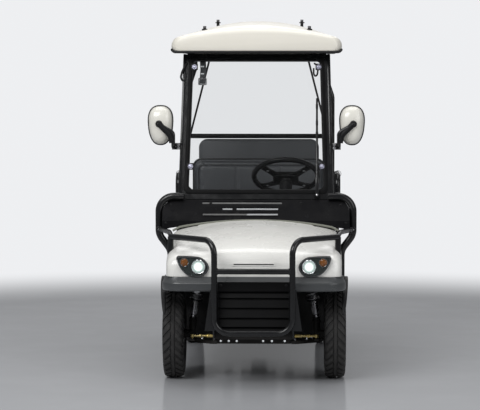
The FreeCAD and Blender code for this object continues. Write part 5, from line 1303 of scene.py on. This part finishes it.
def make_front_body():
    """Smooth hood and nose moulding with folds, open over the wheels and for the lamps."""
    skin = nose_shape("nose_skin", 0.0, 118)
    tools = [nose_shape("nose_hollow", 0.0058, 30, False)]
    tools.append(box_form("nose_under", (-0.49, -1.12, 0.30), (0.49, AXLE_Y, 0.545)))
    tools.append(at(prism("nose_arch", circle(0.300, 96), (-0.49, 0.49), "x"), 0, AXLE_Y, AXLE_Z))
    opening = [(x + LAMP_X, z + LAMP_Z) for x, z in arc_outline(LAMP_OUTLINE, 1.012)]
    for sign in (1, -1):
        tools.append(prism("lamp_opening", mirrored(opening, sign), (-1.13, -0.96)))
    tools.append(box_form("hood_slit", (-0.106, -1.10, 0.636), (0.106, -1.06, 0.642)))
    cut_away(skin, *tools)
    finish_piece(skin, "chassis", M["white"], ("front_body",))
    pieces = []
    edge = ring_between("slit_frame", rounded_outline(0.114, 0.0095, 0.004, 4),
                        rounded_outline(0.106, 0.0030, 0.0012, 4), (-0.0022, 0.0008))
    fit(pieces, "white", bevel(edge, 0.0006, 2, 50), 0, NOSE_Y, 0.639)
    fit(pieces, "trim", box_form("slit_back", (-0.112, NOSE_Y + 0.0065, 0.633),
                                 (0.112, NOSE_Y + 0.0085, 0.645)))
    route = []
    for step in range(41):
        x = -0.446 + 0.892 * step / 40
        share = 1 - (x / 0.446) ** 2
        z = 0.7875 + 0.0430 * share ** 0.92
        route.append((x, -0.4725, z))
    route[0] = (-0.4615, -0.4725, 0.772)
    route[-1] = (0.4615, -0.4725, 0.772)
    fit(pieces, "seal", tube("hood_seal", route, 0.0062, 12))
    finish_piece(join("nose_details", pieces), "chassis")


def make_aprons():
    """Rubber splash panels behind the front wheels, with their fixings."""
    pieces = []
    panel = [(0.192, 0.186), (0.425, 0.196), (0.438, 0.215), (0.438, 0.560), (0.192, 0.560)]
    for sign in (1, -1):
        fit(pieces, "mat", prism("splash_panel", mirrored(panel, sign), (-0.4700, -0.4665), "y", 0.001))
        for z in (0.24, 0.39, 0.53):
            for x in (0.235, 0.41):
                fit(pieces, "trim", dome_bolt("splash_fixing", 0.0075), sign * x, -0.4700, z, FORWARD)
    finish_piece(join("splash_panels", pieces), "chassis")


def make_cowl_details():
    """Strips in the slots, painted pale or grey as light seen through them, and screws."""
    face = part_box("cowl_panel")[0].y
    pieces = []
    for x, z in ((-0.47, 0.915), (0.47, 0.915), (-0.5, 0.815), (0.5, 0.815), (-0.25, 0.925), (0.25, 0.925)):
        fit(pieces, "trim", dome_bolt("cowl_screw", 0.0078), x, face, z, FORWARD)
    # pale and grey strips in the slots are painted light seen through them
    for left, right, z, finish in ((-0.296, 0.145, 0.925, "slot_dim_light"), (-0.184, -0.130, 0.892, "slot_light"),
                                   (-0.106, 0.124, 0.892, "slot_light"), (-0.050, 0.122, 0.862, "slot_light"),
                                   (-0.294, -0.050, 0.862, "slot_dim_light")):
        strip = box_form("painted_slot_strip", (left, face + 0.0036, z - 0.0042),
                         (right, face + 0.0046, z + 0.0042), 0.0004, 1)
        fit(pieces, finish, strip)
    finish_piece(join("cowl_details", pieces), "chassis")


make_front_body()
make_aprons()
make_cowl_details()


# Cushions


def shape_pad(item, low, high, axis, sign, crown, waist):
    """Crown the sitting side and draw the sides in between their corners."""
    centre = (Vector(low) + Vector(high)) / 2
    half = (Vector(high) - Vector(low)) / 2
    across = [i for i in range(3) if i != axis]
    for vert in item.data.vertices:
        share = [(vert.co[i] - centre[i]) / half[i] for i in range(3)]
        u, v = share[across[0]], share[across[1]]
        bulge = (max(1 - u ** 4, 0) * max(1 - v * v, 0)) ** 0.6
        face = min(max((share[axis] * sign + 0.1) / 0.9, 0), 1)
        vert.co[axis] += sign * crown * bulge * face
        for i, other in ((across[0], v), (across[1], u)):
            side = max(abs(share[i]) - 0.8, 0) / 0.2
            vert.co[i] -= math.copysign(waist * max(1 - other * other, 0) * side, share[i])


def swell(item, pressure, limit, held):
    """Twenty steps of cloth under pressure, each point's way limited."""
    rest = [vert.co.copy() for vert in item.data.vertices]
    cloth = item.modifiers.new("cloth", "CLOTH")
    settings = cloth.settings
    settings.quality = 3
    settings.mass = 0.3
    settings.use_pressure = True
    settings.uniform_pressure_force = pressure
    settings.effector_weights.gravity = 0
    settings.tension_stiffness = 25
    settings.compression_stiffness = 25
    settings.shear_stiffness = 10
    settings.bending_stiffness = 1.5
    cloth.collision_settings.use_self_collision = False
    group = item.vertex_groups.new(name="held")
    group.add([vert.index for vert in item.data.vertices if held(vert.co)], 1.0, "REPLACE")
    settings.vertex_group_mass = "held"
    cloth.point_cache.frame_start = 1
    cloth.point_cache.frame_end = 20
    scene = bpy.context.scene
    for step in range(1, 21):
        scene.frame_set(step)
    graph = bpy.context.evaluated_depsgraph_get()
    moved = [vert.co.copy() for vert in item.evaluated_get(graph).data.vertices]
    item.modifiers.remove(cloth)
    scene.frame_set(1)
    for vert, start, end in zip(item.data.vertices, rest, moved):
        way = end - start
        if way.length > limit:
            way *= limit / way.length
        vert.co = start + way


def fit_inside(item, low, high):
    """Scale each axis down where the form has grown past its room."""
    spots = [vert.co for vert in item.data.vertices]
    for i in range(3):
        least, most = min(co[i] for co in spots), max(co[i] for co in spots)
        if least < low[i] or most > high[i]:
            new_low, new_high = max(least, low[i]), min(most, high[i])
            scale = (new_high - new_low) / (most - least)
            for co in spots:
                co[i] = new_low + (co[i] - least) * scale


def soft_rect_distance(u, v, half_u, half_v, corner):
    """Distance from a rounded rectangle's outline."""
    a, b = abs(u) - half_u + corner, abs(v) - half_v + corner
    return abs(math.hypot(max(a, 0), max(b, 0)) + min(max(a, b), 0) - corner)


def make_cushion(node, body, axis, sign, crown, edge, limit, base, welt, seams):
    """One cushion: swollen pad with sewn seams, piping, and the board that carries it."""
    low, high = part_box(node)
    lo, hi = Vector(low), Vector(high)
    room_lo, room_hi = Vector(low), Vector(high)
    for i in range(3):
        if i != axis:
            lo[i] += 0.008
            hi[i] -= 0.008
            room_lo[i] += 0.001
            room_hi[i] -= 0.001
    if sign > 0:
        lo[axis] += base
        room_lo[axis] += base
        hi[axis] -= 0.020
    else:
        hi[axis] -= base
        room_hi[axis] -= base
        lo[axis] += 0.020
    u_axis, v_axis = [i for i in range(3) if i != axis]
    centre = (lo + hi) / 2
    sweep = rounded_outline((hi[u_axis] - lo[u_axis]) / 2, (hi[v_axis] - lo[v_axis]) / 2, 0.052, 10,
                            (centre[u_axis], centre[v_axis]))
    block = prism(node + "_pad", sweep, (lo[axis], hi[axis]), "xyz"[axis], edge)
    pad = modified(block, "REMESH", mode="VOXEL", voxel_size=0.006)
    shape_pad(pad, lo, hi, axis, sign, crown, 0.006)
    plane = (lo if sign > 0 else hi)[axis]
    swell(pad, 4.0, limit, lambda co: (co[axis] - plane) * sign < 0.007)
    fit_inside(pad, room_lo, room_hi)
    half_u, half_v = (hi[u_axis] - lo[u_axis]) / 2 - welt, (hi[v_axis] - lo[v_axis]) / 2 - welt
    middle = centre[axis]
    for vert in pad.data.vertices:
        if (vert.co[axis] - middle) * sign < 0:
            continue
        u, v = vert.co[u_axis] - centre[u_axis], vert.co[v_axis] - centre[v_axis]
        near = soft_rect_distance(u, v, half_u, half_v, 0.035)
        inside = abs(u) < half_u and abs(v) < half_v
        for seam in seams:
            if inside:
                near = min(near, abs(u - seam))
        if near < 0.014:
            vert.co[axis] -= sign * 0.0060 * (0.5 + 0.5 * math.cos(math.pi * near / 0.014))
    smooth_by_angle(modified(pad, "SMOOTH", factor=0.4, iterations=2), 70)
    tree = BVHTree.FromPolygons([v.co.copy() for v in pad.data.vertices],
                                [tuple(p.vertices) for p in pad.data.polygons])
    way = Vector((0, 0, 0))
    way[axis] = -sign
    far = (high if sign > 0 else low)[axis] + sign * 0.1

    def on_pad(u, v, lift):
        start = Vector((0, 0, 0))
        start[u_axis], start[v_axis], start[axis] = centre[u_axis] + u, centre[v_axis] + v, far
        hit = tree.ray_cast(start, way)[0]
        if hit is None:
            hit = start.copy()
            hit[axis] = middle
        hit[axis] += sign * lift
        return hit

    trims = []
    outline = rounded_outline(half_u, half_v, 0.035, 10)
    dense = []
    for a, b in zip(outline, outline[1:] + outline[:1]):
        count = max(int(math.dist(a, b) / 0.02), 1)
        dense += [(a[0] + (b[0] - a[0]) * k / count, a[1] + (b[1] - a[1]) * k / count) for k in range(count)]
    fit(trims, "piping", tube("piping", [on_pad(u, v, 0.0008) for u, v in dense], 0.0031, 8, closed=True))
    for seam in seams:
        for side in (-0.0052, 0.0052):
            reach = half_v - 0.006
            steps = 26
            for step in range(steps):
                a = -reach + 2 * reach * step / steps
                b = a + 2 * reach / steps * 0.62
                ends = [on_pad(seam + side, a, 0.0004), on_pad(seam + side, (a + b) / 2, 0.0011),
                        on_pad(seam + side, b, 0.0004)]
                fit(trims, "thread", tube("stitch", ends, 0.0008, 5))
    span = (low[axis], low[axis] + base + 0.002) if sign > 0 else (high[axis] - base - 0.002, high[axis])
    sweep = rounded_outline((high[u_axis] - low[u_axis]) / 2 - 0.003,
                            (high[v_axis] - low[v_axis]) / 2 - 0.003, 0.052, 10,
                            (centre[u_axis], centre[v_axis]))
    board = prism("board", sweep, span, "xyz"[axis], min(0.006, base * 0.45))
    fit(trims, "vinyl" if axis == 1 else "trim", board)
    foot = []
    outline = rounded_outline((hi[u_axis] - lo[u_axis]) / 2 + 0.001, (hi[v_axis] - lo[v_axis]) / 2 + 0.001,
                              0.052, 10)
    for u, v in outline:
        spot = Vector((0, 0, 0))
        spot[u_axis], spot[v_axis] = centre[u_axis] + u, centre[v_axis] + v
        spot[axis] = plane + sign * 0.0045
        foot.append(spot)
    fit(trims, "piping", tube("foot_piping", foot, 0.0034, 8, closed=True))
    paint(pad, M["vinyl"])
    finish_piece(pad, body, replaces=(node,))
    finish_piece(join(node + "_trim", trims), body)


CUSHIONS = (
    # node, body, axis and sign of the sitting side, crown, edge, most swelling, board, welt, seams
    ("front_seat", "seat_lid", 2, 1, 0.012, 0.030, 0.012, 0.018, 0.040, (-0.13, 0.13)),
    ("rear_seat", "chassis", 2, 1, 0.012, 0.030, 0.012, 0.018, 0.040, (-0.13, 0.13)),
    ("front_backrest", "chassis", 1, -1, 0.009, 0.026, 0.010, 0.012, 0.034, (-0.13, 0.13)),
    ("rear_backrest", "chassis", 1, 1, 0.009, 0.026, 0.010, 0.012, 0.034, (-0.12, 0.12)),
)

for row in CUSHIONS:
    make_cushion(*row)


# Steering wheel and dashboard


def make_steering_wheel():
    """Thick moulded rim, four spokes with silver inlays, and a padded hub."""
    pieces = []
    points = [(x, y, 0.0) for x, y in circle(0.184, 72)]
    radii = [0.0150 + 0.0008 * math.cos(2 * math.pi * step / 72 * 24) for step in range(72)]
    fit(pieces, "trim", tube("wheel_ring", points, radii, 18, closed=True))
    for angle in (38, 142, 218, 322):
        turn = math.radians(angle)
        side = Vector((-math.sin(turn), math.cos(turn), 0))
        out = Vector((math.cos(turn), math.sin(turn), 0))
        rows = ((0.050, 0.026, -0.018), (0.085, 0.019, -0.016), (0.125, 0.0145, -0.009), (0.172, 0.019, 0.0))
        section = ((-1, 0.0045), (-0.6, 0.0075), (0.6, 0.0075), (1, 0.0045), (1, -0.005), (-1, -0.005))
        verts = []
        for reach, wide, z in rows:
            for a, b in section:
                spot = out * reach + side * wide * a
                verts.append((spot.x, spot.y, z + b))
        faces = wall_faces(len(rows), 6) + end_faces(len(rows), 6)
        fit(pieces, "trim", subdivided(new_object("spoke", verts, faces), 2, 60))
        inlay = prism("inlay", [(0.075, -0.009), (0.140, -0.006), (0.140, 0.006), (0.075, 0.009)],
                      (0.0, 0.0020), "z", 0.0006)
        inlay.data.transform(turned(7.5, "Y"))
        inlay.data.transform(Matrix.Translation((0, 0, 0.0025)))
        fit(pieces, "wheel", inlay, 0, 0, 0, turned(angle, "Z"))
    pad, cap = rounded_outline(0.074, 0.052, 0.026, 8), rounded_outline(0.046, 0.030, 0.016, 8)
    fit(pieces, "trim", prism("hub_pad", pad, (-0.030, 0.004), "z", 0.010))
    fit(pieces, "charcoal", prism("hub_cap", cap, (0.002, 0.0065), "z", 0.002))
    boss = ((0.024, -0.058), (0.030, -0.050), (0.034, -0.026), (0.030, -0.022))
    fit(pieces, "trim", lathe("wheel_boss", boss, 28))
    wheel = join("steering_wheel_parts", pieces)
    wheel.data.transform(Matrix.Translation((0.165, 0.025, 1.05)) @ turned(-34, "X"))
    finish_piece(wheel, "steering", replaces=("steering_wheel",))


make_steering_wheel()


# Bumper, arch lips and guard fittings


def bumper_section(z, inset):
    """Outline in plan at a level, its outer side drawn in."""
    front, end, half, bend = -1.118 + inset, -0.968, 0.488 - min(inset, 0.0135), 0.104 - inset
    outer = [(half, end)]
    for step in range(15):
        angle = math.radians(-90 * step / 14)
        outer.append((half - bend + bend * math.cos(angle), front + bend + bend * math.sin(angle)))
    inner = [(0.4715, end), (0.4700, -1.010), (0.4655, -1.048), (0.4560, -1.069), (0.4370, -1.0815)]
    if inset > 0.01:
        inner = [(min(x, half - 0.002), y) for x, y in inner]
    outline = outer + [(-x, y) for x, y in reversed(outer)] + [(-x, y) for x, y in inner] + inner[::-1]
    return [(x, y, z) for x, y in outline[::-1]]


def make_bumper():
    """Wrap-round bumper: a sloping ledge along its top over an upright face with full edges."""
    levels = ((0.4975, 0.0130), (0.4990, 0.0070), (0.5035, 0.0020), (0.5100, 0.0), (0.5380, 0.0),
              (0.5430, 0.0012), (0.5465, 0.0045), (0.5700, 0.0265), (0.5735, 0.0285), (0.5745, 0.0310))
    pieces = []
    fit(pieces, "charcoal", skin_from("bumper", [bumper_section(z, inset) for z, inset in levels]))
    for x, finish in ((0.299, "trim"), (-0.299, "pale")):
        tab = box_form("bumper_tab", (x - 0.014, -1.106, 0.4935), (x + 0.014, -1.101, 0.5015), 0.001, 1)
        fit(pieces, finish, tab)
    finish_piece(join("bumper_parts", pieces), "chassis", replaces=("front_bumper",))


def swept_band(name, inner, outer, x_in, x_out, first, last, steps=40):
    """Part ring about the front axle; x_out gives its outer side for a share of the sweep."""
    verts = []
    for step in range(steps + 1):
        share = step / steps
        angle = math.radians(first + (last - first) * share)
        c, n = math.cos(angle), math.sin(angle)
        for x, r in ((x_in, inner), (x_out(share), inner), (x_out(share), outer), (x_in, outer)):
            verts.append((x, AXLE_Y + r * c, AXLE_Z + r * n))
    return new_object(name, verts, wall_faces(steps + 1, 4) + end_faces(steps + 1, 4))


def make_arch_lips():
    """Lips that taper towards their ends, with the liners inside them."""
    def reach(share):
        return 0.478 + 0.027 * math.sin(math.pi * share) ** 0.55

    lip = bevel(swept_band("lip", 0.2945, 0.3135, 0.4695, reach, 26, 154), 0.0045, 3, 50)
    liner = swept_band("liner", 0.2945, 0.2990, 0.385, lambda share: 0.4685, 30, 112)
    whole = join("lip_left", [paint(lip, M["trim"]), paint(liner, M["mat"])])
    both = join("arch_lips_pair", [whole, twin(whole)])
    finish_piece(both, "chassis", replaces=("arch_lips",))


def make_guard_fittings():
    """Stays from the guard's arms back to the hoops, weld beads, and bolts along the foot."""
    pieces = []
    for sign in (1, -1):
        route = [(sign * 0.4455, -0.921, 0.777), (sign * 0.462, -0.80, 0.790), (sign * 0.515, -0.50, 0.778),
                 (sign * 0.534, -0.4385, 0.772)]
        fit(pieces, "paint", tube("guard_stay", rounded_route(route, 0.25, 6), 0.0135, 16))
        tab = prism("stay_tab", rounded_outline(0.017, 0.020, 0.008, 5), (-0.446, -0.4385), "y", 0.002)
        fit(pieces, "paint", tab, sign * 0.5365, 0, 0.772)
        fit(pieces, "pale", dome_bolt("stay_bolt", 0.0095), sign * 0.5365, -0.446, 0.774, FORWARD)
    for x in (-0.170, -0.128, -0.086, 0.052, 0.098, 0.165):
        fit(pieces, "pale", bolt_head("guard_bolt", 0.0044, 0.004), x, -1.205, 0.2485, FORWARD)
    for sign in (1, -1):
        for z in (0.300, 0.535):
            fit(pieces, "trim", bolt_head("grille_bolt", 0.0060, 0.005), sign * 0.172, -1.145, z, FORWARD)
        bead = lathe("weld_bead", ((0.0165, -0.003), (0.0185, 0.0), (0.0165, 0.003)), 22, "x")
        fit(pieces, "paint", bead, sign * 0.188, -1.195, 0.613)
    finish_piece(join("guard_fittings", pieces), "chassis")


make_bumper()
make_arch_lips()
make_guard_fittings()


# Cab, body and tail details


def cast(node, start, way):
    """Point and outward direction where a ray meets a CAD solid, or None."""
    if node not in CASTERS:
        item = NODES[node]
        spots = [item.matrix_world @ vert.co for vert in item.data.vertices]
        CASTERS[node] = BVHTree.FromPolygons(spots, [tuple(face.vertices) for face in item.data.polygons])
    hit, normal = CASTERS[node].ray_cast(Vector(start), Vector(way))[:2]
    return (hit, normal) if hit is not None else None


def laid(item, x, z, spin=0.0):
    """Turn a piece's z axis to the dashboard's face and set it there."""
    start, way = Vector((x, 0.4, z)), Vector(AHEAD)
    hit, normal = cast("dashboard", start, way) or (start, -way)
    if normal.dot(way) > 0:
        normal = -normal
    item.data.transform(turned(spin, "Z"))
    item.data.transform(Matrix.Translation(hit) @ normal.to_track_quat("Z", "Y").to_matrix().to_4x4())
    return item


def make_rear_details():
    """Lips round the rear arches, shut lines, charging flap, vents, and tail-lamp bezels and lenses."""
    pieces = []
    for sign in (1, -1):
        route = []
        for step in range(37):
            angle = math.radians(12 + 156 * step / 36)
            z = AXLE_Z + 0.2710 * math.sin(angle)
            if z > (0.33 if math.cos(angle) < 0 else 0.404):
                route.append((sign * 0.4712, REAR_AXLE_Y + 0.2710 * math.cos(angle), z))
        fit(pieces, "rubber", tube("rear_lip", route, 0.0062, 10))
        near, far = sign * 0.4703 - 0.0006, sign * 0.4703 + 0.0006
        fit(pieces, "deep", box_form("shut_line", (near, 0.150, 0.602), (far, 1.060, 0.6048)))
        fit(pieces, "deep", box_form("panel_line", (near, 0.36, 0.345), (far, 0.3626, 0.600)))
        side = turned(90 * sign, "Y")
        for y, z in ((0.18, 0.37), (0.31, 0.37), (0.18, 0.57), (0.31, 0.57)):
            fit(pieces, "trim", dome_bolt("body_fixing", 0.0075), sign * BODY_SIDE, y, z, side)
        for step in range(5):
            outline = rounded_outline(0.034, 0.0030, 0.0028, 4)
            slot = prism("vent_slot", outline, (-0.0006, 0.0012), "z", 0.0004)
            fit(pieces, "deep", slot, sign * BODY_SIDE, 0.245, 0.425 + 0.017 * step, side @ turned(90, "Z"))
    flap = prism("charge_flap", rounded_outline(0.048, 0.040, 0.010, 6), (0.0, 0.0035), "z", 0.0012)
    fit(pieces, "trim", flap, -BODY_SIDE, 0.245, 0.533, turned(-90, "Y") @ turned(90, "Z"))
    finish_piece(join("body_details", pieces), "chassis")
    pieces = []
    low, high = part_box("tail_lamps")
    x0, x1 = 0.355, high.x
    half_x, half_z = (x1 - x0) / 2, (high.z - low.z) / 2
    for sign in (1, -1):
        found = cast("tail_lamps", (sign * 0.40, 1.3, 0.52), AHEAD)
        face = found[0].y if found else high.y
        for a, b, finish in ((0.02, 0.62, "red"), (0.64, 0.98, "amber")):
            left, right = sorted((sign * (x0 + (x1 - x0) * a), sign * (x0 + (x1 - x0) * b)))
            fit(pieces, finish, box_form("tail_lens", (left, face - 0.002, low.z + 0.005),
                                         (right, face + 0.0045, high.z - 0.005), 0.003, 3))
        rim = ring_between("tail_bezel", rounded_outline(half_x + 0.003, half_z + 0.003, 0.006, 5),
                           rounded_outline(half_x - 0.003, half_z - 0.003, 0.004, 5), (-0.018, 0.0055))
        fit(pieces, "trim", bevel(rim, 0.0012, 2, 50), sign * (x0 + x1) / 2, face, (low.z + high.z) / 2)
    finish_piece(join("tail_lamp_details", pieces), "chassis")


def make_foot_rest_details():
    """Raised tread pattern on the step, bolts, and the drawbar's pin with its ring."""
    pieces = []
    for row in range(5):
        for col in range(24):
            x, y = -0.372 + 0.0323 * col, 1.080 + 0.026 * row
            found = cast("foot_rest", (x, y, 1.0), DOWN)
            if found:
                bar = box_form("tread_bar", (-0.010, -0.0018, 0.0), (0.010, 0.0018, 0.0016), 0.0006, 1)
                turn = turned(45 if (row + col) % 2 else -45, "Z")
                fit(pieces, "chassis", bar, x, y, found[0].z - 0.0002, turn)
    top = cast("foot_rest", (0, 1.15, 1.0), DOWN)
    z = top[0].z if top else 0.345
    for sign in (1, -1):
        for y in (1.055, 1.185):
            fit(pieces, "steel", bolt_head("step_bolt", 0.007, 0.005), sign * 0.385, y, z)
    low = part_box("foot_rest")[0].z
    pin = lathe("drawbar_pin", ((0.0001, 0.0), (0.0072, 0.001), (0.0082, 0.004), (0.0082, 0.100),
                                (0.013, 0.101), (0.014, 0.106), (0.0001, 0.108)), 24)
    fit(pieces, "steel", pin, 0, 1.161, low - 0.018)
    ring = tube("pin_ring", [(x, 0, z) for x, z in circle(0.021, 24)], 0.0021, 8, closed=True)
    fit(pieces, "steel", ring, 0.006, 1.161, low + 0.109)
    finish_piece(join("foot_rest_details", pieces), "chassis")


def make_floor_details():
    """Ribs on the floor mat and on the sills."""
    pieces = []
    for k in range(23):
        x = -0.396 + 0.036 * k
        found = cast("floor_pan", (x, -0.15, 0.62), DOWN)
        if found:
            z = found[0].z
            fit(pieces, "mat", box_form("mat_rib", (x - 0.006, -0.36, z - 0.0005),
                                        (x + 0.006, 0.075, z + 0.0028), 0.0012, 1))
    for sign in (1, -1):
        for k in range(14):
            x, y = sign * 0.468, -0.42 + 0.037 * k
            found = cast("sills", (x, y, 0.6), DOWN)
            if found:
                z = found[0].z
                fit(pieces, "rubber", box_form("sill_rib", (x - 0.009, y - 0.006, z - 0.0005),
                                               (x + 0.009, y + 0.006, z + 0.0022), 0.0009, 1))
    finish_piece(join("floor_details", pieces), "chassis")


def make_cab_details():
    """Pedal pads, gauges, switches, lever, vents, cup rings and the glove box lid."""
    pieces = []
    for x in (0.102, 0.235):
        for row in range(5):
            found = cast("pedals", (x, 0.2, 0.452 + 0.014 * row), AHEAD)
            if found:
                pad = box_form("pedal_rib", (-0.026, -0.0022, 0.0), (0.026, 0.0022, 0.0022), 0.0008, 1)
                pad.data.transform(turned(-90, "X"))
                fit(pieces, "rubber", pad, *found[0])
    for x, z, radius in ((0.120, 0.885, 0.036), (0.205, 0.885, 0.036)):
        rows = ((radius - 0.004, 0.0), (radius - 0.003, 0.006), (radius, 0.0085), (radius + 0.003, 0.006),
                (radius + 0.004, 0.0))
        fit(pieces, "chrome", laid(lathe("gauge_ring", rows, 40), x, z))
        rows = ((0.0001, 0.0022), (radius - 0.003, 0.0022), (radius - 0.003, 0.0))
        fit(pieces, "gauge", laid(lathe("gauge_dial", rows, 40), x, z))
        needle = box_form("needle", (-0.0008, -0.004, 0.0026), (0.0008, radius - 0.010, 0.0034), 0.0002, 1)
        fit(pieces, "pale", laid(needle, x, z, 40))
        for k in range(9):
            mark = box_form("dial_mark", (-0.0006, radius - 0.009, 0.0022), (0.0006, radius - 0.005, 0.0027))
            fit(pieces, "pale", laid(mark, x, z, -120 + 30 * k))
    for k in range(4):
        x, z = -0.02 - 0.034 * k, 0.880
        rocker = box_form("rocker", (-0.012, -0.017, 0.0), (0.012, 0.017, 0.005), 0.0022, 3)
        fit(pieces, "gloss", laid(rocker, x, z))
        frame_ring = ring_between("rocker_frame", rounded_outline(0.0150, 0.0200, 0.004, 4),
                                  rounded_outline(0.0125, 0.0175, 0.003, 4), (-0.0035, 0.0))
        frame_ring.data.transform(turned(-90, "X"))
        tidy_normals(frame_ring)
        fit(pieces, "trim", laid(frame_ring, x, z))
    for x in (0.36, -0.36):
        rows = ((0.038, 0.0), (0.0385, 0.004), (0.041, 0.0055), (0.044, 0.004), (0.0445, 0.0))
        fit(pieces, "trim", laid(lathe("cup_ring", rows, 36), x, 0.865))
        for k in range(5):
            reach, up = 0.034 - abs(k - 2) * 0.004, 0.012 * (k - 2)
            low, high = (-reach, -0.0022 + up, 0.0), (reach, 0.0022 + up, 0.0035)
            vane = box_form("vent_vane", low, high, 0.0008, 1)
            fit(pieces, "trim", laid(vane, x, 0.865))
    lid = prism("glove_lid", rounded_outline(0.130, 0.048, 0.014, 6), (0.0, 0.004), "z", 0.0015)
    fit(pieces, "charcoal", laid(lid, -0.20, 0.765))
    latch = prism("glove_latch", rounded_outline(0.020, 0.008, 0.006, 5), (0.004, 0.010), "z", 0.002)
    fit(pieces, "trim", laid(latch, -0.20, 0.800))
    key = lathe("key_barrel", ((0.0001, 0.009), (0.0095, 0.0085), (0.0105, 0.006), (0.0125, 0.0)), 26)
    fit(pieces, "steel", laid(key, 0.275, 0.880))
    rows = ((0.0001, 0.040), (0.010, 0.038), (0.013, 0.030), (0.011, 0.020), (0.006, 0.014), (0.0055, 0.0))
    fit(pieces, "trim", laid(lathe("drive_knob", rows, 26), 0.310, 0.840))
    finish_piece(join("cab_details", pieces), "chassis")


def make_frame_details():
    """Collars, feet and bolts of the hip restraints, and plates behind the front backrest."""
    pieces = []
    for sign in (1, -1):
        for y, z, axis in ((0.2405, 0.885, "z"), (0.46, 1.0418, "y")):
            rows = ((0.0178, 0.0), (0.0202, 0.0015), (0.0202, 0.0085), (0.0178, 0.010))
            fit(pieces, "rubber", lathe("pad_collar", rows, 26, axis, closed=True), sign * 0.4723, y, z)
        outline = rounded_outline(0.022, 0.034, 0.006, 5)
        foot = prism("restraint_foot", outline, (0.6255, 0.6300), "z", 0.0012)
        fit(pieces, "paint", foot, sign * 0.447, 0.24, 0)
        for y in (0.215, 0.265):
            fit(pieces, "steel", bolt_head("foot_bolt", 0.0066, 0.0055), sign * 0.447, y, 0.630)
        for z in (0.93, 1.10):
            outline = rounded_outline(0.020, 0.026, 0.005, 4)
            plate = prism("back_plate", outline, (-0.0018, 0.0018), "y", 0.0008)
            fit(pieces, "paint", plate, sign * 0.30, 0.5595, z)
    finish_piece(join("frame_details", pieces), "chassis")


make_rear_details()
make_foot_rest_details()
make_floor_details()
make_cab_details()
make_frame_details()


# Camera, light and floor


def make_camera():
    data = bpy.data.cameras.new("camera")
    data.lens = 168
    data.sensor_width = 36
    data.clip_end = 100
    item = bpy.data.objects.new("camera", data)
    item.location = (0.22, -12.875, 1.72)
    item.rotation_euler = (math.radians(90 - 3.71), 0, math.radians(1.42))
    bpy.context.scene.collection.objects.link(item)
    bpy.context.scene.camera = item


def area_lamp(name, place, target, size, power):
    data = bpy.data.lights.new(name, "AREA")
    data.shape = "RECTANGLE"
    data.size, data.size_y = size
    data.energy = power
    item = bpy.data.objects.new(name, data)
    item.location = place
    item.rotation_mode = "QUATERNION"
    item.rotation_quaternion = (Vector(target) - Vector(place)).to_track_quat("-Z", "Y")
    bpy.context.scene.collection.objects.link(item)


def make_studio():
    """Large soft lamps above and to both sides, and a pale room."""
    scene = bpy.context.scene
    scene.view_settings.view_transform = "Standard"
    world = bpy.data.worlds.new("room")
    scene.world = world
    world.use_nodes = True
    tree = world.node_tree
    back = tree.nodes["Background"]
    back.inputs["Color"].default_value = (0.93, 0.94, 0.96, 1)
    path = tree.nodes.new("ShaderNodeLightPath")
    seen = tree.nodes.new("ShaderNodeMath")
    seen.operation = "MAXIMUM"
    tree.links.new(path.outputs["Is Camera Ray"], seen.inputs[0])
    tree.links.new(path.outputs["Is Transmission Ray"], seen.inputs[1])
    level = tree.nodes.new("ShaderNodeMapRange")
    level.inputs["To Min"].default_value = 0.24
    level.inputs["To Max"].default_value = 0.92
    tree.links.new(seen.outputs[0], level.inputs["Value"])
    tree.links.new(level.outputs[0], back.inputs["Strength"])
    area_lamp("key", (-3.2, -5.5, 5.2), (0, -0.3, 0.8), (4.5, 3.0), 320)
    area_lamp("fill", (4.2, -4.5, 3.2), (0, -0.2, 0.8), (3.5, 3.5), 90)
    area_lamp("top", (0, 0.5, 6.0), (0, 0.2, 0), (5.0, 5.0), 165)
    area_lamp("back", (0.5, 6.5, 4.5), (0, 0.5, 1.0), (5.0, 3.0), 65)


def make_floor():
    """Pale floor that keeps the cart's shadow and fades into the room's white further out."""
    data = bpy.data.meshes.new("studio_floor")
    data.from_pydata([(-60, -60, 0), (60, -60, 0), (60, 60, 0), (-60, 60, 0)], [], [(0, 1, 2, 3)])
    item = bpy.data.objects.new("studio_floor", data)
    bpy.context.scene.collection.objects.link(item)
    made = Paint("studio_floor", (0.48, 0.49, 0.51), 0.14, 0, 0.1)
    made.mottle(0.7, 0.3, (0.44, 0.45, 0.47)).sheen_change(2.5, 0.03)
    far = made.add("ShaderNodeVectorMath", operation="LENGTH")
    made.link(made.where, far, 0)
    fade = made.ranged(far.outputs["Value"], 3.3, 5.6)
    fade.node.interpolation_type = "SMOOTHSTEP"
    path = made.add("ShaderNodeLightPath")
    seen = made.maths("MAXIMUM", path.outputs["Is Camera Ray"], path.outputs["Is Transmission Ray"])
    share = made.maths("MULTIPLY", fade, seen)
    glow = made.add("ShaderNodeEmission")
    made.put(glow, "Color", (0.93, 0.94, 0.96, 1))
    made.put(glow, "Strength", 0.92)
    made.mixed(share, made.shader, glow)
    paint(item, made.material)


make_camera()
make_studio()
make_floor()
